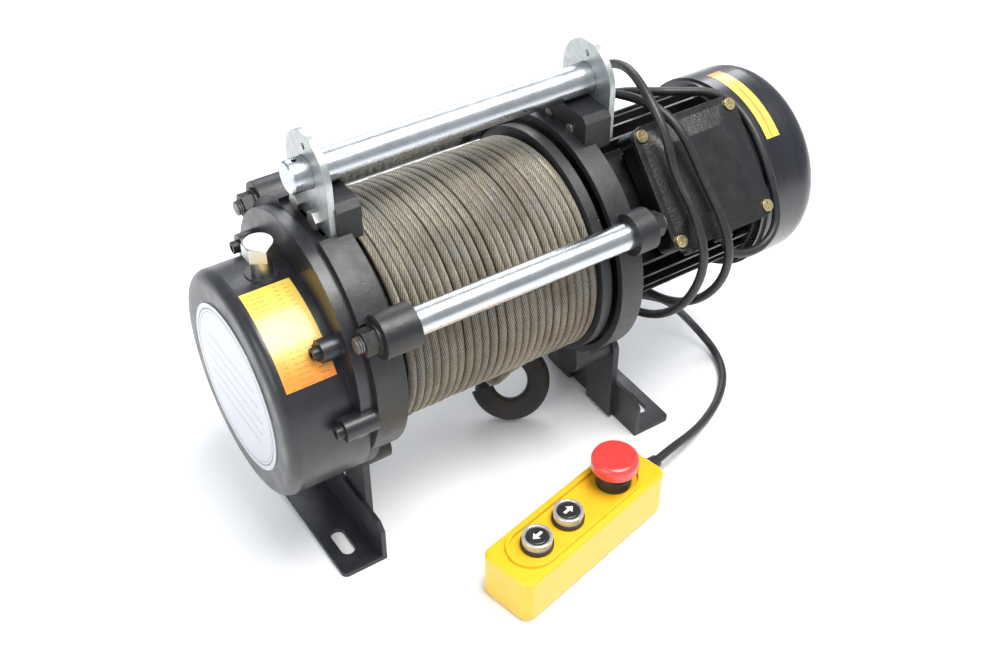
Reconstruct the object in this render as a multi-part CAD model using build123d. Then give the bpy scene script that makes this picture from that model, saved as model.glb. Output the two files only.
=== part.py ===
from build123d import *
import math
import os

# Electric wire rope hoist with its pendant control.  Millimetres.
# Frame: the drum's axis runs along Y (gearbox at -Y, motor at +Y), the front is +X, up is +Z.
# The origin is the centre of the four foot slots, on the plane the feet stand on.

# ---- driving dimensions ----------------------------------------------------------------
AXIS_Z = 198.0            # height of the drum's axis above the feet

ROPE_D = 7.0
WINDING_R = 92.0          # outside of the top layer
WINDING_Y = (-112.0, 66.0)
BARREL_R = 60.0
BARREL_WALL = 6.0
FLANGE_R = 97.0
FLANGE_LEFT_Y = (-119.0, -112.0)
FLANGE_RIGHT_Y = (66.0, 75.0)

PLATE_R = 105.0           # end plates' round rim
PLATE_RIM = 6.0
LEFT_Y = (-139.0, -114.0)
RIGHT_Y = (79.0, 99.5)
PLATE_WALL = 8.0

ROD_CIRCLE_R = 112.0      # three tie rods, a third of a turn apart
ROD_ANGLES = (30.0, 150.0, 270.0)
ROD_R = 11.0
ROD_Y = (-104.0, 86.0)
STUD_R = 6.0
STUD_END = 149.0
ROD_BOSS_R = 17.0
ROD_BOSS_LEFT_Y = -132.0
ROD_BLIND_Y = -127.0       # the bottom rod ends inside the left plate
ROD_BOSS_RIGHT_Y = 104.0
NUT_AF = 18.0
NUT_H = 9.5
WASHER_T = 2.5

COVER_R = 92.0            # gear cover, set below the drum's axis
COVER_DROP = 29.0
COVER_WALL = 6.0
COVER_END_Y = -204.6
FRONT_BEARING_Y = (-199.6, -194.2)
COVER_EDGE_R = 9.0
COVER_FLANGE_Y = (-150.0, -140.0)
COVER_FLANGE_R = 99.0
EAR_R = 9.0
EAR_CIRCLE_R = 99.0
EAR_ANGLES = (8.0, 44.0, 125.0, 172.0, 225.0, 270.0)
EAR_FACE_Y = -165.0
NAMEPLATE_R = 68.0
PLUG_XY = (-5.0, -169.0)

GEAR_CENTRES = 54.0       # drum axis to layshaft axis
STAGE_1 = {"module": 1.5, "pinion": 12, "gear": 60}
STAGE_2 = {"module": 2.0, "pinion": 12, "gear": 42}
STAGE_1_Y = (-193.0, -182.0)
STAGE_2_Y = (-174.0, -154.0)
BACKLASH = 0.5
PRESSURE_ANGLE = math.radians(25.0)

SHAFT_R = 8.5             # input shaft, motor to gearbox
QUILL_R = 17.5            # hollow drum shaft
QUILL_BORE_R = 10.5
RUN_GAP = 0.05            # radial running clearance

HANGER_DROP_R = 31.0      # hanger plates: round top about the bar, flat foot
HANGER_BAR_R = 12.5
HANGER_Z = 137.0          # bar above the drum's axis
HANGER_LEFT_Y = (-129.0, -124.0)
HANGER_RIGHT_Y = (113.0, 118.0)
HANGER_BAR_Y = (-144.0, 131.0)
HANGER_BOLT_X = 14.0
HANGER_BOLT_Z = 106.0

FOOT_Y = 129.0            # inner face of each angle's upright leg
FOOT_LEG = 40.0
FOOT_T = 4.0
FOOT_HALF = 80.0
SLOT_X = 47.5
SLOT_Y = 153.0
SLOT_W = 12.0
SLOT_L = 30.0
LOBE_XZ = (31.0, -117.0)
LOBE_R = 14.0
STRUT_W = 35.0
STRUT_T = 6.0

MOTOR_Y = (112.0, 240.0)
MOTOR_CORE_R = 66.0
MOTOR_FIN_R = 77.0
FIN_COUNT = 30
FIN_T = 2.6
CORE_Y = (138.0, 208.0)      # stator and rotor iron
BELL_R = 84.0
FAN_COVER_R = 86.0
FAN_COVER_Y = (248.0, 310.0)
FAN_COVER_WALL = 2.0
BOX_ANGLE = 42.0          # terminal box: turned this far up from the front
BOX_Y = 183.0
BOX_LONG = 104.0          # along the motor
BOX_WIDE = 104.0          # across it
BOX_TOP_R = 90.0
LID_T = 9.0
LID_FLANGE_T = 4.5
LID_SCREW_LONG = 90.0
LID_SCREW_WIDE = 88.0
GLANDS_Y = (5.0, -27.0)   # control cable and mains, from the box's middle
MAINS_BORE_R = 4.5
GLAND_OUT = 8.0

HOOK_AT = Vector(-17.0, 57.0, 31.0)          # middle of the hook's bowl
HOOK_FACE = Vector(0.63, -0.42, 0.65)        # square to the hook's flat side
HOOK_SHANK = Vector(-0.768, -0.405, 0.489)   # from the bowl towards the eye
HOOK_BOWL_R = 26.25                          # middle of the section
HOOK_WIDE = 20.5
HOOK_THICK = 15.0
EYE_AT = 52.0                                # bowl's middle to the eye's middle
EYE_R = 15.0
EYE_SECTION_R = 5.0
LOOP_R = 12.0                                # rope's end loop, through the hook's eye
FERRULE_R = 7.0
FERRULE_L = 22.0
LATCH_AT = (25.0, -2.0)                      # latch pin in the hook's own plane
LATCH_ANGLE = 150.0
LATCH_REACH = 20.0
LATCH_PIN_R = 1.8
TAIL_ROUTE = [(46, 13, 114), (32, 14.5, 93), (21, 14.8, 79), (7, 18, 68.5), (-8, 27, 64)]

CABLE_D = 7.5
CABLE_Z = 24.0            # height of the pendant's gland
CABLE_OUT = 8.0           # straight out of the terminal box
CABLE_IN = 22.0           # straight into the pendant
CABLE_LOOPS = [           # angle about the motor's axis, distance from it, and y
    (0, 108, 195), (-1, 110, 208), (-1, 109, 222), (2, 106, 235), (8, 101, 244), (20, 97, 245),
    (37, 95, 245), (55, 94, 246), (72, 93, 245), (84, 91, 237), (93, 89, 219), (102, 90, 200),
    (117, 93, 182), (141, 97, 170), (176, 99, 169), (213, 98, 174), (248, 98, 180), (283, 99, 182),
    (318, 103, 181), (350, 115, 179), (14, 123, 175), (41, 108, 170), (59, 119, 164),
    (72, 121, 157), (86, 114, 149), (105, 109, 138), (138, 107, 133), (170, 104, 137),
    (204, 101, 143), (238, 99, 149), (272, 99, 152), (306, 101, 151), (338, 109, 151),
    (7, 121, 151), (27, 116, 149), (46, 109, 146), (60, 123, 146), (73, 131, 147),
    (87, 134, 153), (100, 127, 161), (114, 119, 167), (130, 116, 168), (149, 113, 160),
    (176, 111, 151), (204, 111, 151), (231, 110, 157),
]
CABLE_LEAD = [
    (-34, 162, 91), (-3, 172, 92), (9, 193, 88), (8, 217, 71), (4, 240, 44), (10, 259, 18),
    (33, 264, 5), (62, 251, 4), (86, 225, 4), (104, 192, 7), (118, 162, 17),
]

PENDANT_AT = (175.0, -77.0)   # middle of its near end
PENDANT_TURN = 13.0
PENDANT_L = 172.0
PENDANT_W = 52.0
PENDANT_H = 46.0
PENDANT_SPLIT = 30.0
PENDANT_WALL = 2.5
PENDANT_BORE_R = 5.0
BUTTON_AT = {"down": 38.0, "up": 75.0}
ESTOP_AT = 132.0


# ---- small helpers ---------------------------------------------------------------------
def across(x, z, y):
    """A plane square to the drum's axis at y, drawn in x and z from the drum's axis."""
    return Plane((x, y, AXIS_Z + z), x_dir=(1, 0, 0), z_dir=(0, -1, 0))


def slab(sketch, y0, y1, x=0.0, z=0.0):
    """A sketch in x and z, filled from y0 to y1."""
    return extrude(across(x, z, y1) * sketch, amount=y1 - y0)


def rod(r, y0, y1, x=0.0, z=0.0):
    return slab(Circle(r), y0, y1, x, z)


def tube(r_out, r_in, y0, y1, x=0.0, z=0.0):
    return slab(Circle(r_out) - Circle(r_in), y0, y1, x, z)


def hexagon(flats, y0, y1, x=0.0, z=0.0, turn=0.0):
    return slab(Rot(0, 0, turn) * RegularPolygon(flats / math.sqrt(3), 6), y0, y1, x, z)


def block(x0, x1, y0, y1, z0, z1):
    """A box from its limits, z counted from the floor."""
    centre = Pos((x0 + x1) / 2, (y0 + y1) / 2, (z0 + z1) / 2)
    return centre * Box(abs(x1 - x0), abs(y1 - y0), abs(z1 - z0))


def polar(r, degrees):
    return r * math.cos(math.radians(degrees)), r * math.sin(math.radians(degrees))


def group(solids):
    return Compound(children=list(solids))


def bearing(r_in, r_out, y0, y1, x=0.0, z=0.0):
    """Inner ring, outer ring and balls, each a solid of its own."""
    mid = (r_in + r_out) / 2
    ball_r = min((r_out - r_in) * 0.27, (y1 - y0) * 0.4)
    track = Rot(90, 0, 0) * Torus(mid, ball_r + 0.1)
    place = Pos(x, (y0 + y1) / 2, AXIS_Z + z)
    land = (r_out - r_in) * 0.32
    inner = tube(r_in + land, r_in, y0, y1, x, z) - place * track
    outer = tube(r_out, r_out - land, y0, y1, x, z) - place * track
    count = int(math.pi * mid / ball_r * 0.8)
    balls = []
    for i in range(count):
        bx, bz = polar(mid, 360.0 * i / count)
        balls.append(place * Pos(bx, 0, bz) * Sphere(ball_r))
    return group([inner, outer] + balls)


def gear_outline(module, teeth, first_tooth):
    """A spur gear's outline; first_tooth is the angle of one tooth's middle, in degrees."""
    pitch_r = module * teeth / 2
    base_r = pitch_r * math.cos(PRESSURE_ANGLE)
    tip_r = pitch_r + 0.8 * module
    root_r = pitch_r - 1.1 * module
    half_pitch = math.pi / (2 * teeth) - BACKLASH / (2 * pitch_r)

    def half_angle(r):
        pressure = math.acos(min(1.0, base_r / r))
        rolled = math.tan(pressure) - pressure
        return half_pitch + math.tan(PRESSURE_ANGLE) - PRESSURE_ANGLE - rolled

    flank = [root_r, max(base_r, root_r + 0.1), pitch_r, (pitch_r + tip_r) / 2, tip_r]
    points = []
    for tooth in range(teeth):
        middle = math.radians(first_tooth) + 2 * math.pi * tooth / teeth
        for r in flank:
            a = middle - half_angle(r)
            points.append((r * math.cos(a), r * math.sin(a)))
        for r in reversed(flank):
            a = middle + half_angle(r)
            points.append((r * math.cos(a), r * math.sin(a)))
    return make_face(Polyline(points, close=True))


# ---- end plates and the rods between them ----------------------------------------------
def rod_places():
    return [polar(ROD_CIRCLE_R, a) for a in ROD_ANGLES]


def plate_lobes(y_in, y_out, web_y0, web_y1):
    """The two lower lobes that the feet's struts bolt to, with the webs that carry them."""
    x, z = LOBE_XZ
    body = None
    for side in (-1, 1):
        lobe = rod(LOBE_R, y_in, y_out, side * x, z)
        web = block(side * x - 13, side * x + 13, web_y0, web_y1, AXIS_Z + z, AXIS_Z + z + 27)
        body = lobe + web if body is None else body + lobe + web
    return body


def hanger_block(y0, y1):
    body = block(-34, 34, y0, y1, AXIS_Z + 94, AXIS_Z + HANGER_Z - HANGER_BAR_R - 0.5)
    return chamfer(body.edges().filter_by(Axis.Y).group_by(Axis.Z)[-1], 5)


def hanger_bolt_holes(y0, y1):
    holes = rod(4.0, y0, y1, -HANGER_BOLT_X, HANGER_BOLT_Z)
    return holes + rod(4.0, y0, y1, HANGER_BOLT_X, HANGER_BOLT_Z)


def left_end_plate():
    y0, y1 = LEFT_Y
    wall_outline = Circle(PLATE_R) + Pos(0, -COVER_DROP) * Circle(COVER_R)
    for a in EAR_ANGLES[4:]:
        ex, ez = polar(EAR_CIRCLE_R, a)
        wall_outline += Pos(ex, ez - COVER_DROP) * Circle(EAR_R + 1)
    body = slab(wall_outline, y0, y0 + PLATE_WALL)
    body += tube(PLATE_R, PLATE_R - PLATE_RIM, y0, y1)
    body += rod(40, y0, y0 + 18)
    body += rod(22, y0, y0 + 14, 0, -GEAR_CENTRES)
    for (x, z), boss_r in zip(rod_places(), (ROD_BOSS_R, ROD_BOSS_R, 13.0)):
        body += rod(boss_r, ROD_BOSS_LEFT_Y, ROD_Y[0], x, z)
    body += hanger_block(HANGER_LEFT_Y[1], -105)
    body += plate_lobes(-123, -100, -123, -112)
    body -= rod(FLANGE_R + 1.5, y0 + 19, y1 + 20)
    body -= rod(31, y0 - 1, y0 + 15)
    body -= rod(20, y0 - 1, y1)
    body -= rod(13, y0 - 1, y0 + 8, 0, -GEAR_CENTRES)
    for x, z in rod_places()[:2]:
        body -= rod(STUD_R, y0 - 1, ROD_Y[0] + 1, x, z)
        body -= rod(13, y0 - 1, ROD_BOSS_LEFT_Y, x, z)
    for x, z in rod_places()[2:]:
        body -= rod(STUD_R, ROD_BLIND_Y, ROD_Y[0] + 1, x, z)
    for side in (-1, 1):
        body -= rod(4.0, -124, -105, side * LOBE_XZ[0], LOBE_XZ[1])
        body -= rod(8.5, -135, -123, side * LOBE_XZ[0], LOBE_XZ[1])
    notch = HANGER_DROP_R + 0.3
    body -= block(-notch, notch, y0 - 1, HANGER_LEFT_Y[1], AXIS_Z + 96.5, AXIS_Z + 130)
    body -= hanger_bolt_holes(HANGER_LEFT_Y[1] - 1, HANGER_LEFT_Y[1] + 24)
    for a in EAR_ANGLES:
        ex, ez = polar(EAR_CIRCLE_R, a)
        body -= rod(3.0, y0 - 1, y0 + 7, ex, ez - COVER_DROP)
    return body


def right_end_plate():
    y0, y1 = RIGHT_Y
    body = rod(PLATE_R, y1 - PLATE_WALL, y1)
    body += tube(PLATE_R, PLATE_R - PLATE_RIM, y0, y1)
    for x, z in rod_places():
        body += rod(ROD_BOSS_R, ROD_Y[1], ROD_BOSS_RIGHT_Y, x, z)
    body += hanger_block(89, HANGER_RIGHT_Y[0])
    body += plate_lobes(85, 123, 85, RIGHT_Y[1])
    body -= rod(FLANGE_R + 1.5, 60, y1 - PLATE_WALL)
    body += rod(24, 78, y1)
    body += rod(15, 56, y1)
    body -= rod(10, 50, y1 + 1)
    body -= rod(17.5, y1 - 12, y1 + 1)
    for x, z in rod_places():
        body -= rod(STUD_R, ROD_Y[1] - 1, 130, x, z)
        body -= rod(ROD_R, y0 - 1, ROD_Y[1], x, z)
    for side in (-1, 1):
        body -= rod(4.0, 105, 124, side * LOBE_XZ[0], LOBE_XZ[1])
    body -= hanger_bolt_holes(HANGER_RIGHT_Y[0] - 26, HANGER_RIGHT_Y[0] + 1)
    for x, z in bell_screw_places():
        body -= rod(3.0, y1 - 10, y1 + 1, x, z)
    return body


def tie_rod(x, z, left_end):
    right_end = ROD_BOSS_RIGHT_Y + WASHER_T + NUT_H + 4
    body = rod(ROD_R, ROD_Y[0], ROD_Y[1], x, z)
    body += rod(STUD_R, left_end, ROD_Y[0], x, z)
    body += rod(STUD_R, ROD_Y[1], right_end, x, z)
    ends = body.faces().filter_by(Axis.Y)
    tips = ends.sort_by(Axis.Y)[0].edges() + ends.sort_by(Axis.Y)[-1].edges()
    return chamfer(tips, 0.8)


def tie_rods():
    """Two rods carry a nut at each end; the bottom one screws into the plate behind the gear cover."""
    left_ends = (-STUD_END, -STUD_END, ROD_BLIND_Y)
    return group(tie_rod(x, z, end) for (x, z), end in zip(rod_places(), left_ends))


def rod_nuts():
    """A nut and a washer on each rod end that stands out of its plate."""
    left = ROD_BOSS_LEFT_Y
    right = ROD_BOSS_RIGHT_Y
    ends = [(x, z, right, 1) for x, z in rod_places()] + [(x, z, left, -1) for x, z in rod_places()[:2]]
    solids = []
    for x, z, face, way in ends:
        seat = face + way * WASHER_T
        y0, y1 = sorted((seat, seat + way * NUT_H))
        nut = hexagon(NUT_AF, y0, y1, x, z, 15)
        nut &= Pos(x, (y0 + y1) / 2, AXIS_Z + z) * Sphere(NUT_AF * 0.62)
        solids.append(nut - rod(STUD_R, y0 - 1, y1 + 1, x, z))
        solids.append(tube(12, STUD_R, min(face, seat), max(face, seat), x, z))
    return group(solids)


# ---- gear cover ------------------------------------------------------------------------
def cover_ears():
    return [(x, z - COVER_DROP) for x, z in (polar(EAR_CIRCLE_R, a) for a in EAR_ANGLES)]


def gear_cover():
    y_end = COVER_END_Y
    y_open = COVER_FLANGE_Y[1]
    body = rod(COVER_R, y_end, y_open, 0, -COVER_DROP)
    body = fillet(body.edges().sort_by(Axis.Y)[0], COVER_EDGE_R)
    body += rod(COVER_FLANGE_R, *COVER_FLANGE_Y)
    for x, z in cover_ears():
        body += rod(EAR_R, EAR_FACE_Y, y_open, x, z)
    body -= rod(COVER_R - COVER_WALL, y_end + COVER_WALL, y_open + 1, 0, -COVER_DROP)
    body += rod(21, y_end + 2, FRONT_BEARING_Y[1])
    body += rod(18, y_end + 2, FRONT_BEARING_Y[1], 0, -GEAR_CENTRES)
    body += Pos(PLUG_XY[0], PLUG_XY[1], AXIS_Z + 56) * Cylinder(13, 16)
    body -= rod(17.5, FRONT_BEARING_Y[0], FRONT_BEARING_Y[1] + 1)
    body -= rod(13, FRONT_BEARING_Y[0], FRONT_BEARING_Y[1] + 1, 0, -GEAR_CENTRES)
    body -= Pos(PLUG_XY[0], PLUG_XY[1], AXIS_Z + 56) * Cylinder(7, 40)
    for x, z in cover_ears():
        body -= rod(3.4, EAR_FACE_Y - 1, y_open + 1, x, z)
    return body


def cover_gasket():
    outline = Circle(COVER_FLANGE_R) + Pos(0, -COVER_DROP) * Circle(COVER_R)
    for x, z in cover_ears():
        outline += Pos(x, z) * Circle(EAR_R)
    outline -= Pos(0, -COVER_DROP) * Circle(COVER_R - COVER_WALL)
    for x, z in cover_ears():
        outline -= Pos(x, z) * Circle(3.4)
    return slab(outline, COVER_FLANGE_Y[1], LEFT_Y[0])


def cap_screw(x, z, y_face, length, shank_r=3.0):
    """A socket head cap screw that is driven along +Y."""
    body = rod(shank_r * 1.65, y_face - 2 * shank_r, y_face, x, z)
    body = chamfer(body.edges().sort_by(Axis.Y)[0], 0.5)
    body += rod(shank_r, y_face, y_face + length, x, z)
    return body - hexagon(shank_r * 1.7, y_face - 2 * shank_r - 1, y_face - shank_r, x, z)


def cover_screws():
    return group(cap_screw(x, z, EAR_FACE_Y, 30) for x, z in cover_ears())


def oil_plug():
    x, y = PLUG_XY
    top = AXIS_Z + 64
    body = Pos(x, y, top - 6) * Cylinder(7, 12)
    body += Pos(x, y, top + 7) * Cylinder(8, 14)
    head = extrude(Plane((x, y, top + 14)) * RegularPolygon(12.7, 6), amount=12)
    head &= Pos(x, y, top + 14) * Sphere(16)
    body += head
    body += Pos(x, y, top + 13.5) * Cylinder(10.5, 1.5)
    return body


def nameplate():
    return rod(NAMEPLATE_R, COVER_END_Y - 1, COVER_END_Y, 0, -COVER_DROP)


def round_label(r, y0, y1, from_angle, to_angle, drop=0.0):
    """A blank label that follows a round side between two angles."""
    skin = tube(r + 0.3, r, y0, y1, 0, -drop)
    middle = (from_angle + to_angle) / 2
    wedge_points = [(0, 0), polar(2 * r, from_angle), polar(2.5 * r, middle), polar(2 * r, to_angle)]
    wedge = make_face(Polyline(wedge_points, close=True))
    return skin & slab(wedge, y0, y1, 0, -drop)


def blank_labels():
    on_cover = round_label(COVER_R, -195.5, -156.0, 32.0, 83.0, COVER_DROP)
    for x, z in cover_ears():
        on_cover -= rod(EAR_R + 0.5, EAR_FACE_Y - 1, -150, x, z)
    on_fan_cover = round_label(FAN_COVER_R, 260.0, 274.0, 46.0, 104.0)
    return group([on_cover, on_fan_cover])


# ---- gear train ------------------------------------------------------------------------
def input_pinion():
    outline = gear_outline(STAGE_1["module"], STAGE_1["pinion"], 270.0)
    return slab(outline - Circle(5.0), *STAGE_1_Y)


def layshaft_gear():
    first = 90.0 + 180.0 / STAGE_1["gear"]
    outline = gear_outline(STAGE_1["module"], STAGE_1["gear"], first)
    body = slab(outline, *STAGE_1_Y, 0, -GEAR_CENTRES)
    for a in range(0, 360, 60):
        x, z = polar(27, a)
        body -= rod(8, STAGE_1_Y[0] - 1, STAGE_1_Y[1] + 1, x, z - GEAR_CENTRES)
    return body - rod(8, STAGE_1_Y[0] - 1, STAGE_1_Y[1] + 1, 0, -GEAR_CENTRES)


def layshaft():
    """The layshaft with its pinion cut in one piece."""
    z = -GEAR_CENTRES
    body = rod(8, STAGE_1_Y[0] - 0.5, STAGE_2_Y[0], 0, z)
    body += slab(gear_outline(STAGE_2["module"], STAGE_2["pinion"], 90.0), *STAGE_2_Y, 0, z)
    body += rod(5, FRONT_BEARING_Y[0] + 0.5, STAGE_1_Y[0], 0, z)
    body += rod(8, STAGE_2_Y[1], -141, 0, z)
    body += rod(5, -141, LEFT_Y[0] + 7, 0, z)
    return body


def drum_gear():
    first = 270.0 + 180.0 / STAGE_2["gear"]
    outline = gear_outline(STAGE_2["module"], STAGE_2["gear"], first)
    body = slab(outline, *STAGE_2_Y)
    body -= tube(36, 24, STAGE_2_Y[0] - 1, STAGE_2_Y[0] + 5)
    return body - rod(QUILL_R, STAGE_2_Y[0] - 1, STAGE_2_Y[1] + 1)


# ---- drum and its shaft ----------------------------------------------------------------
def drum_shaft():
    """A hollow shaft that the input shaft runs through."""
    body = rod(QUILL_R, -176, -104)
    body += rod(44, FLANGE_LEFT_Y[1], FLANGE_LEFT_Y[1] + 7)
    return body - rod(QUILL_BORE_R, -177, -103)


def drum():
    left0, left1 = FLANGE_LEFT_Y
    right0, right1 = FLANGE_RIGHT_Y
    body = tube(BARREL_R, BARREL_R - BARREL_WALL, left0, right1)
    body += rod(FLANGE_R, left0, left1)
    body += tube(FLANGE_R, BARREL_R - BARREL_WALL, right0, right1)
    body += rod(BARREL_R, 58, 71)
    body -= rod(QUILL_R, left0 - 1, left1 + 1)
    return body - rod(27.5, 50, 80)


def rope_winding():
    """The wound rope, several layers deep, as one plain sleeve."""
    return tube(WINDING_R, BARREL_R, *WINDING_Y)


# ---- shafts, bearings and seals --------------------------------------------------------
def input_shaft():
    body = rod(SHAFT_R, -181.5, 286)
    return body + rod(5.0, FRONT_BEARING_Y[0] + 0.5, -181.5)


def drum_bearing_left():
    return bearing(QUILL_R + RUN_GAP, 31, LEFT_Y[0] + 1, LEFT_Y[0] + 15)


def drum_bearing_right():
    return bearing(15 + RUN_GAP, 27.5, 58, 71)


def shaft_bearings():
    """The small bearings that stand still: input shaft, layshaft and motor."""
    z = -GEAR_CENTRES
    made = [
        bearing(5 + RUN_GAP, 17.5, *FRONT_BEARING_Y),
        bearing(5 + RUN_GAP, 13, *FRONT_BEARING_Y, 0, z),
        bearing(5 + RUN_GAP, 13, LEFT_Y[0], LEFT_Y[0] + 8, 0, z),
        bearing(SHAFT_R + RUN_GAP, 17.5, RIGHT_Y[1] - 12, RIGHT_Y[1]),
        bearing(SHAFT_R + RUN_GAP, 17.5, MOTOR_Y[1] - 8, MOTOR_Y[1] + 2),
    ]
    return group(solid for one in made for solid in one.solids())


def shaft_seal():
    return tube(20, QUILL_R + RUN_GAP, LEFT_Y[0] + 15, LEFT_Y[0] + 18)


# ---- motor -----------------------------------------------------------------------------
def box_frame(r):
    """Terminal box plane: x across the box, y along the motor, z away from the motor."""
    a = math.radians(BOX_ANGLE)
    out = (math.cos(a), 0, math.sin(a))
    side = (math.sin(a), 0, -math.cos(a))
    return Plane((r * out[0], BOX_Y, AXIS_Z + r * out[2]), x_dir=side, z_dir=out)


def motor_body():
    y0, y1 = MOTOR_Y
    outline = Circle(MOTOR_CORE_R)
    for i in range(FIN_COUNT):
        turn = 360.0 * i / FIN_COUNT
        gap = abs((turn - BOX_ANGLE + 180) % 360 - 180)
        if gap > 32:
            fin = Pos((MOTOR_CORE_R + MOTOR_FIN_R) / 2 - 1, 0)
            fin *= Rectangle(MOTOR_FIN_R - MOTOR_CORE_R + 2, FIN_T)
            outline += Rot(0, 0, turn) * fin
    body = slab(outline, y0, y1)
    pad = extrude(box_frame(58) * Rectangle(74, 88), amount=12)
    body += pad
    body -= rod(MOTOR_CORE_R - 6, y0 - 1, y1 + 1)
    body -= extrude(box_frame(50) * Rectangle(30, 40), amount=25)
    return body


def bell_screw_places():
    return [polar(74, a) for a in (45, 135, 225, 315)]


def front_bell():
    """The motor's front shield, bolted to the right end plate."""
    y0, y1 = RIGHT_Y[1], MOTOR_Y[0]
    body = rod(BELL_R, y0, y1)
    body -= rod(52, y0 + 5, y1 + 1)
    body -= rod(SHAFT_R + 1.5, y0 - 1, y1 + 1)
    for x, z in bell_screw_places():
        body -= rod(3.0, y0 - 1, y1 + 1, x, z)
        body -= rod(6.5, y1 - 5, y1 + 1, x, z)
    return body


def rear_bell():
    y0 = MOTOR_Y[1]
    body = rod(MOTOR_FIN_R + 1, y0, y0 + 7)
    body += rod(24, y0 - 10, y0 + 4)
    body -= rod(17.5, y0 - 8, y0 + 2)
    return body - rod(SHAFT_R + 1.5, y0 - 11, y0 + 8)


def bell_screws():
    y = MOTOR_Y[0] - 5
    places = bell_screw_places()
    return group(hexagon(10, y, y + 4.6, x, z) + rod(3.0, y - 17, y, x, z) for x, z in places)


def stator():
    outline = Circle(MOTOR_CORE_R - 6) - Circle(36)
    for i in range(24):
        outline -= Rot(0, 0, 15.0 * i) * Pos(44, 0) * Rectangle(12, 4)
    return slab(outline, *CORE_Y)


def windings():
    y0, y1 = CORE_Y
    return group([tube(54, 39, y0 - 14, y0), tube(54, 39, y1, y1 + 14)])


def rotor():
    return tube(35.3, SHAFT_R, *CORE_Y)


def brake_coil():
    y = MOTOR_Y[1] + 7
    return tube(34, 14, y, y + 12)


def brake_disc():
    y = MOTOR_Y[1] + 19.6
    return tube(36, SHAFT_R, y, y + 4)


def fan():
    y0, y1 = 276.0, 292.0
    body = tube(15, SHAFT_R, y0 - 4, y0 + 8)
    body += tube(66, 14, y0, y0 + 2.5)
    for i in range(8):
        blade = block(20, 64, y0, y1, AXIS_Z - 1, AXIS_Z + 1)
        body += Pos(0, 0, AXIS_Z) * Rot(0, 45.0 * i, 0) * Pos(0, 0, -AXIS_Z) * blade
    return body


def fan_cover():
    y0, y1 = FAN_COVER_Y
    edge = 22.0
    body = rod(FAN_COVER_R, y0, y1)
    body = fillet(body.edges().sort_by(Axis.Y)[-1], edge)
    inner = rod(FAN_COVER_R - FAN_COVER_WALL, y0 - 1, y1 - FAN_COVER_WALL)
    inner = fillet(inner.edges().sort_by(Axis.Y)[-1], edge - FAN_COVER_WALL)
    body -= inner
    for ring_r in (16, 26, 36, 46):
        count = int(ring_r * 0.75)
        for i in range(count):
            x, z = polar(ring_r, 360.0 * i / count)
            body -= rod(2.6, y1 - 4, y1 + 1, x, z)
    return body + tube(FAN_COVER_R - FAN_COVER_WALL, MOTOR_FIN_R + 1, y0 - 5, y0 + 2)


def terminal_box():
    depth = BOX_TOP_R - 70
    body = extrude(box_frame(70) * RectangleRounded(BOX_WIDE - 6, BOX_LONG - 6, 8), amount=depth)
    body -= extrude(box_frame(73) * RectangleRounded(BOX_WIDE - 18, BOX_LONG - 18, 6), amount=depth)
    for sx in (-1, 1):
        for sy in (-1, 1):
            spot = Pos(sx * LID_SCREW_WIDE / 2, sy * LID_SCREW_LONG / 2)
            body += extrude(box_frame(70) * (spot * Circle(6)), amount=depth)
    for sx in (-1, 1):
        for sy in (-1, 1):
            spot = Pos(sx * LID_SCREW_WIDE / 2, sy * LID_SCREW_LONG / 2)
            body -= extrude(box_frame(78) * (spot * Circle(2.5)), amount=depth)
    body -= extrude(box_frame(60) * Rectangle(30, 40), amount=15)
    for y in GLANDS_Y:
        hole = Plane(box_frame(80).origin, x_dir=(0, 1, 0), z_dir=box_frame(80).x_dir)
        body -= extrude(hole * (Pos(y, 0) * Circle(7)), amount=80)
    return body


def box_lid():
    """A flat flange with a raised middle that has wide sloping sides, notched for the screw heads."""
    frame = box_frame(BOX_TOP_R + 1)
    body = extrude(frame * RectangleRounded(BOX_WIDE, BOX_LONG, 12), amount=LID_FLANGE_T)
    foot_outline = RectangleRounded(BOX_WIDE - 8, BOX_LONG - 8, 10)
    top_outline = RectangleRounded(BOX_WIDE - 42, BOX_LONG - 42, 6)
    body += loft([frame.offset(LID_FLANGE_T - 0.5) * foot_outline, frame.offset(LID_T) * top_outline])
    for sx in (-1, 1):
        for sy in (-1, 1):
            spot = Pos(sx * LID_SCREW_WIDE / 2, sy * LID_SCREW_LONG / 2)
            body -= extrude(frame.offset(LID_FLANGE_T) * (spot * Circle(6.2)), amount=LID_T)
            body -= extrude(frame * (spot * Circle(2.8)), amount=LID_T)
    return body - extrude(frame * RectangleRounded(BOX_WIDE - 46, BOX_LONG - 46, 6), amount=4)


def lid_gasket():
    outline = RectangleRounded(BOX_WIDE - 6, BOX_LONG - 6, 8)
    outline -= RectangleRounded(BOX_WIDE - 34, BOX_LONG - 34, 6)
    for sx in (-1, 1):
        for sy in (-1, 1):
            outline -= Pos(sx * LID_SCREW_WIDE / 2, sy * LID_SCREW_LONG / 2) * Circle(2.8)
    return extrude(box_frame(BOX_TOP_R) * outline, amount=1)


def lid_screws():
    solids = []
    top = BOX_TOP_R + 1 + LID_FLANGE_T
    for sx in (-1, 1):
        for sy in (-1, 1):
            spot = Pos(sx * LID_SCREW_WIDE / 2, sy * LID_SCREW_LONG / 2)
            screw = extrude(box_frame(top) * (spot * Circle(5)), amount=2.6)
            screw += extrude(box_frame(top - 14) * (spot * Circle(2.5)), amount=14)
            slot = Rectangle(7, 1.2) + Rectangle(1.2, 7)
            screw -= extrude(box_frame(top + 1.2) * (spot * slot), amount=3)
            solids.append(screw)
    return group(solids)


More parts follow.
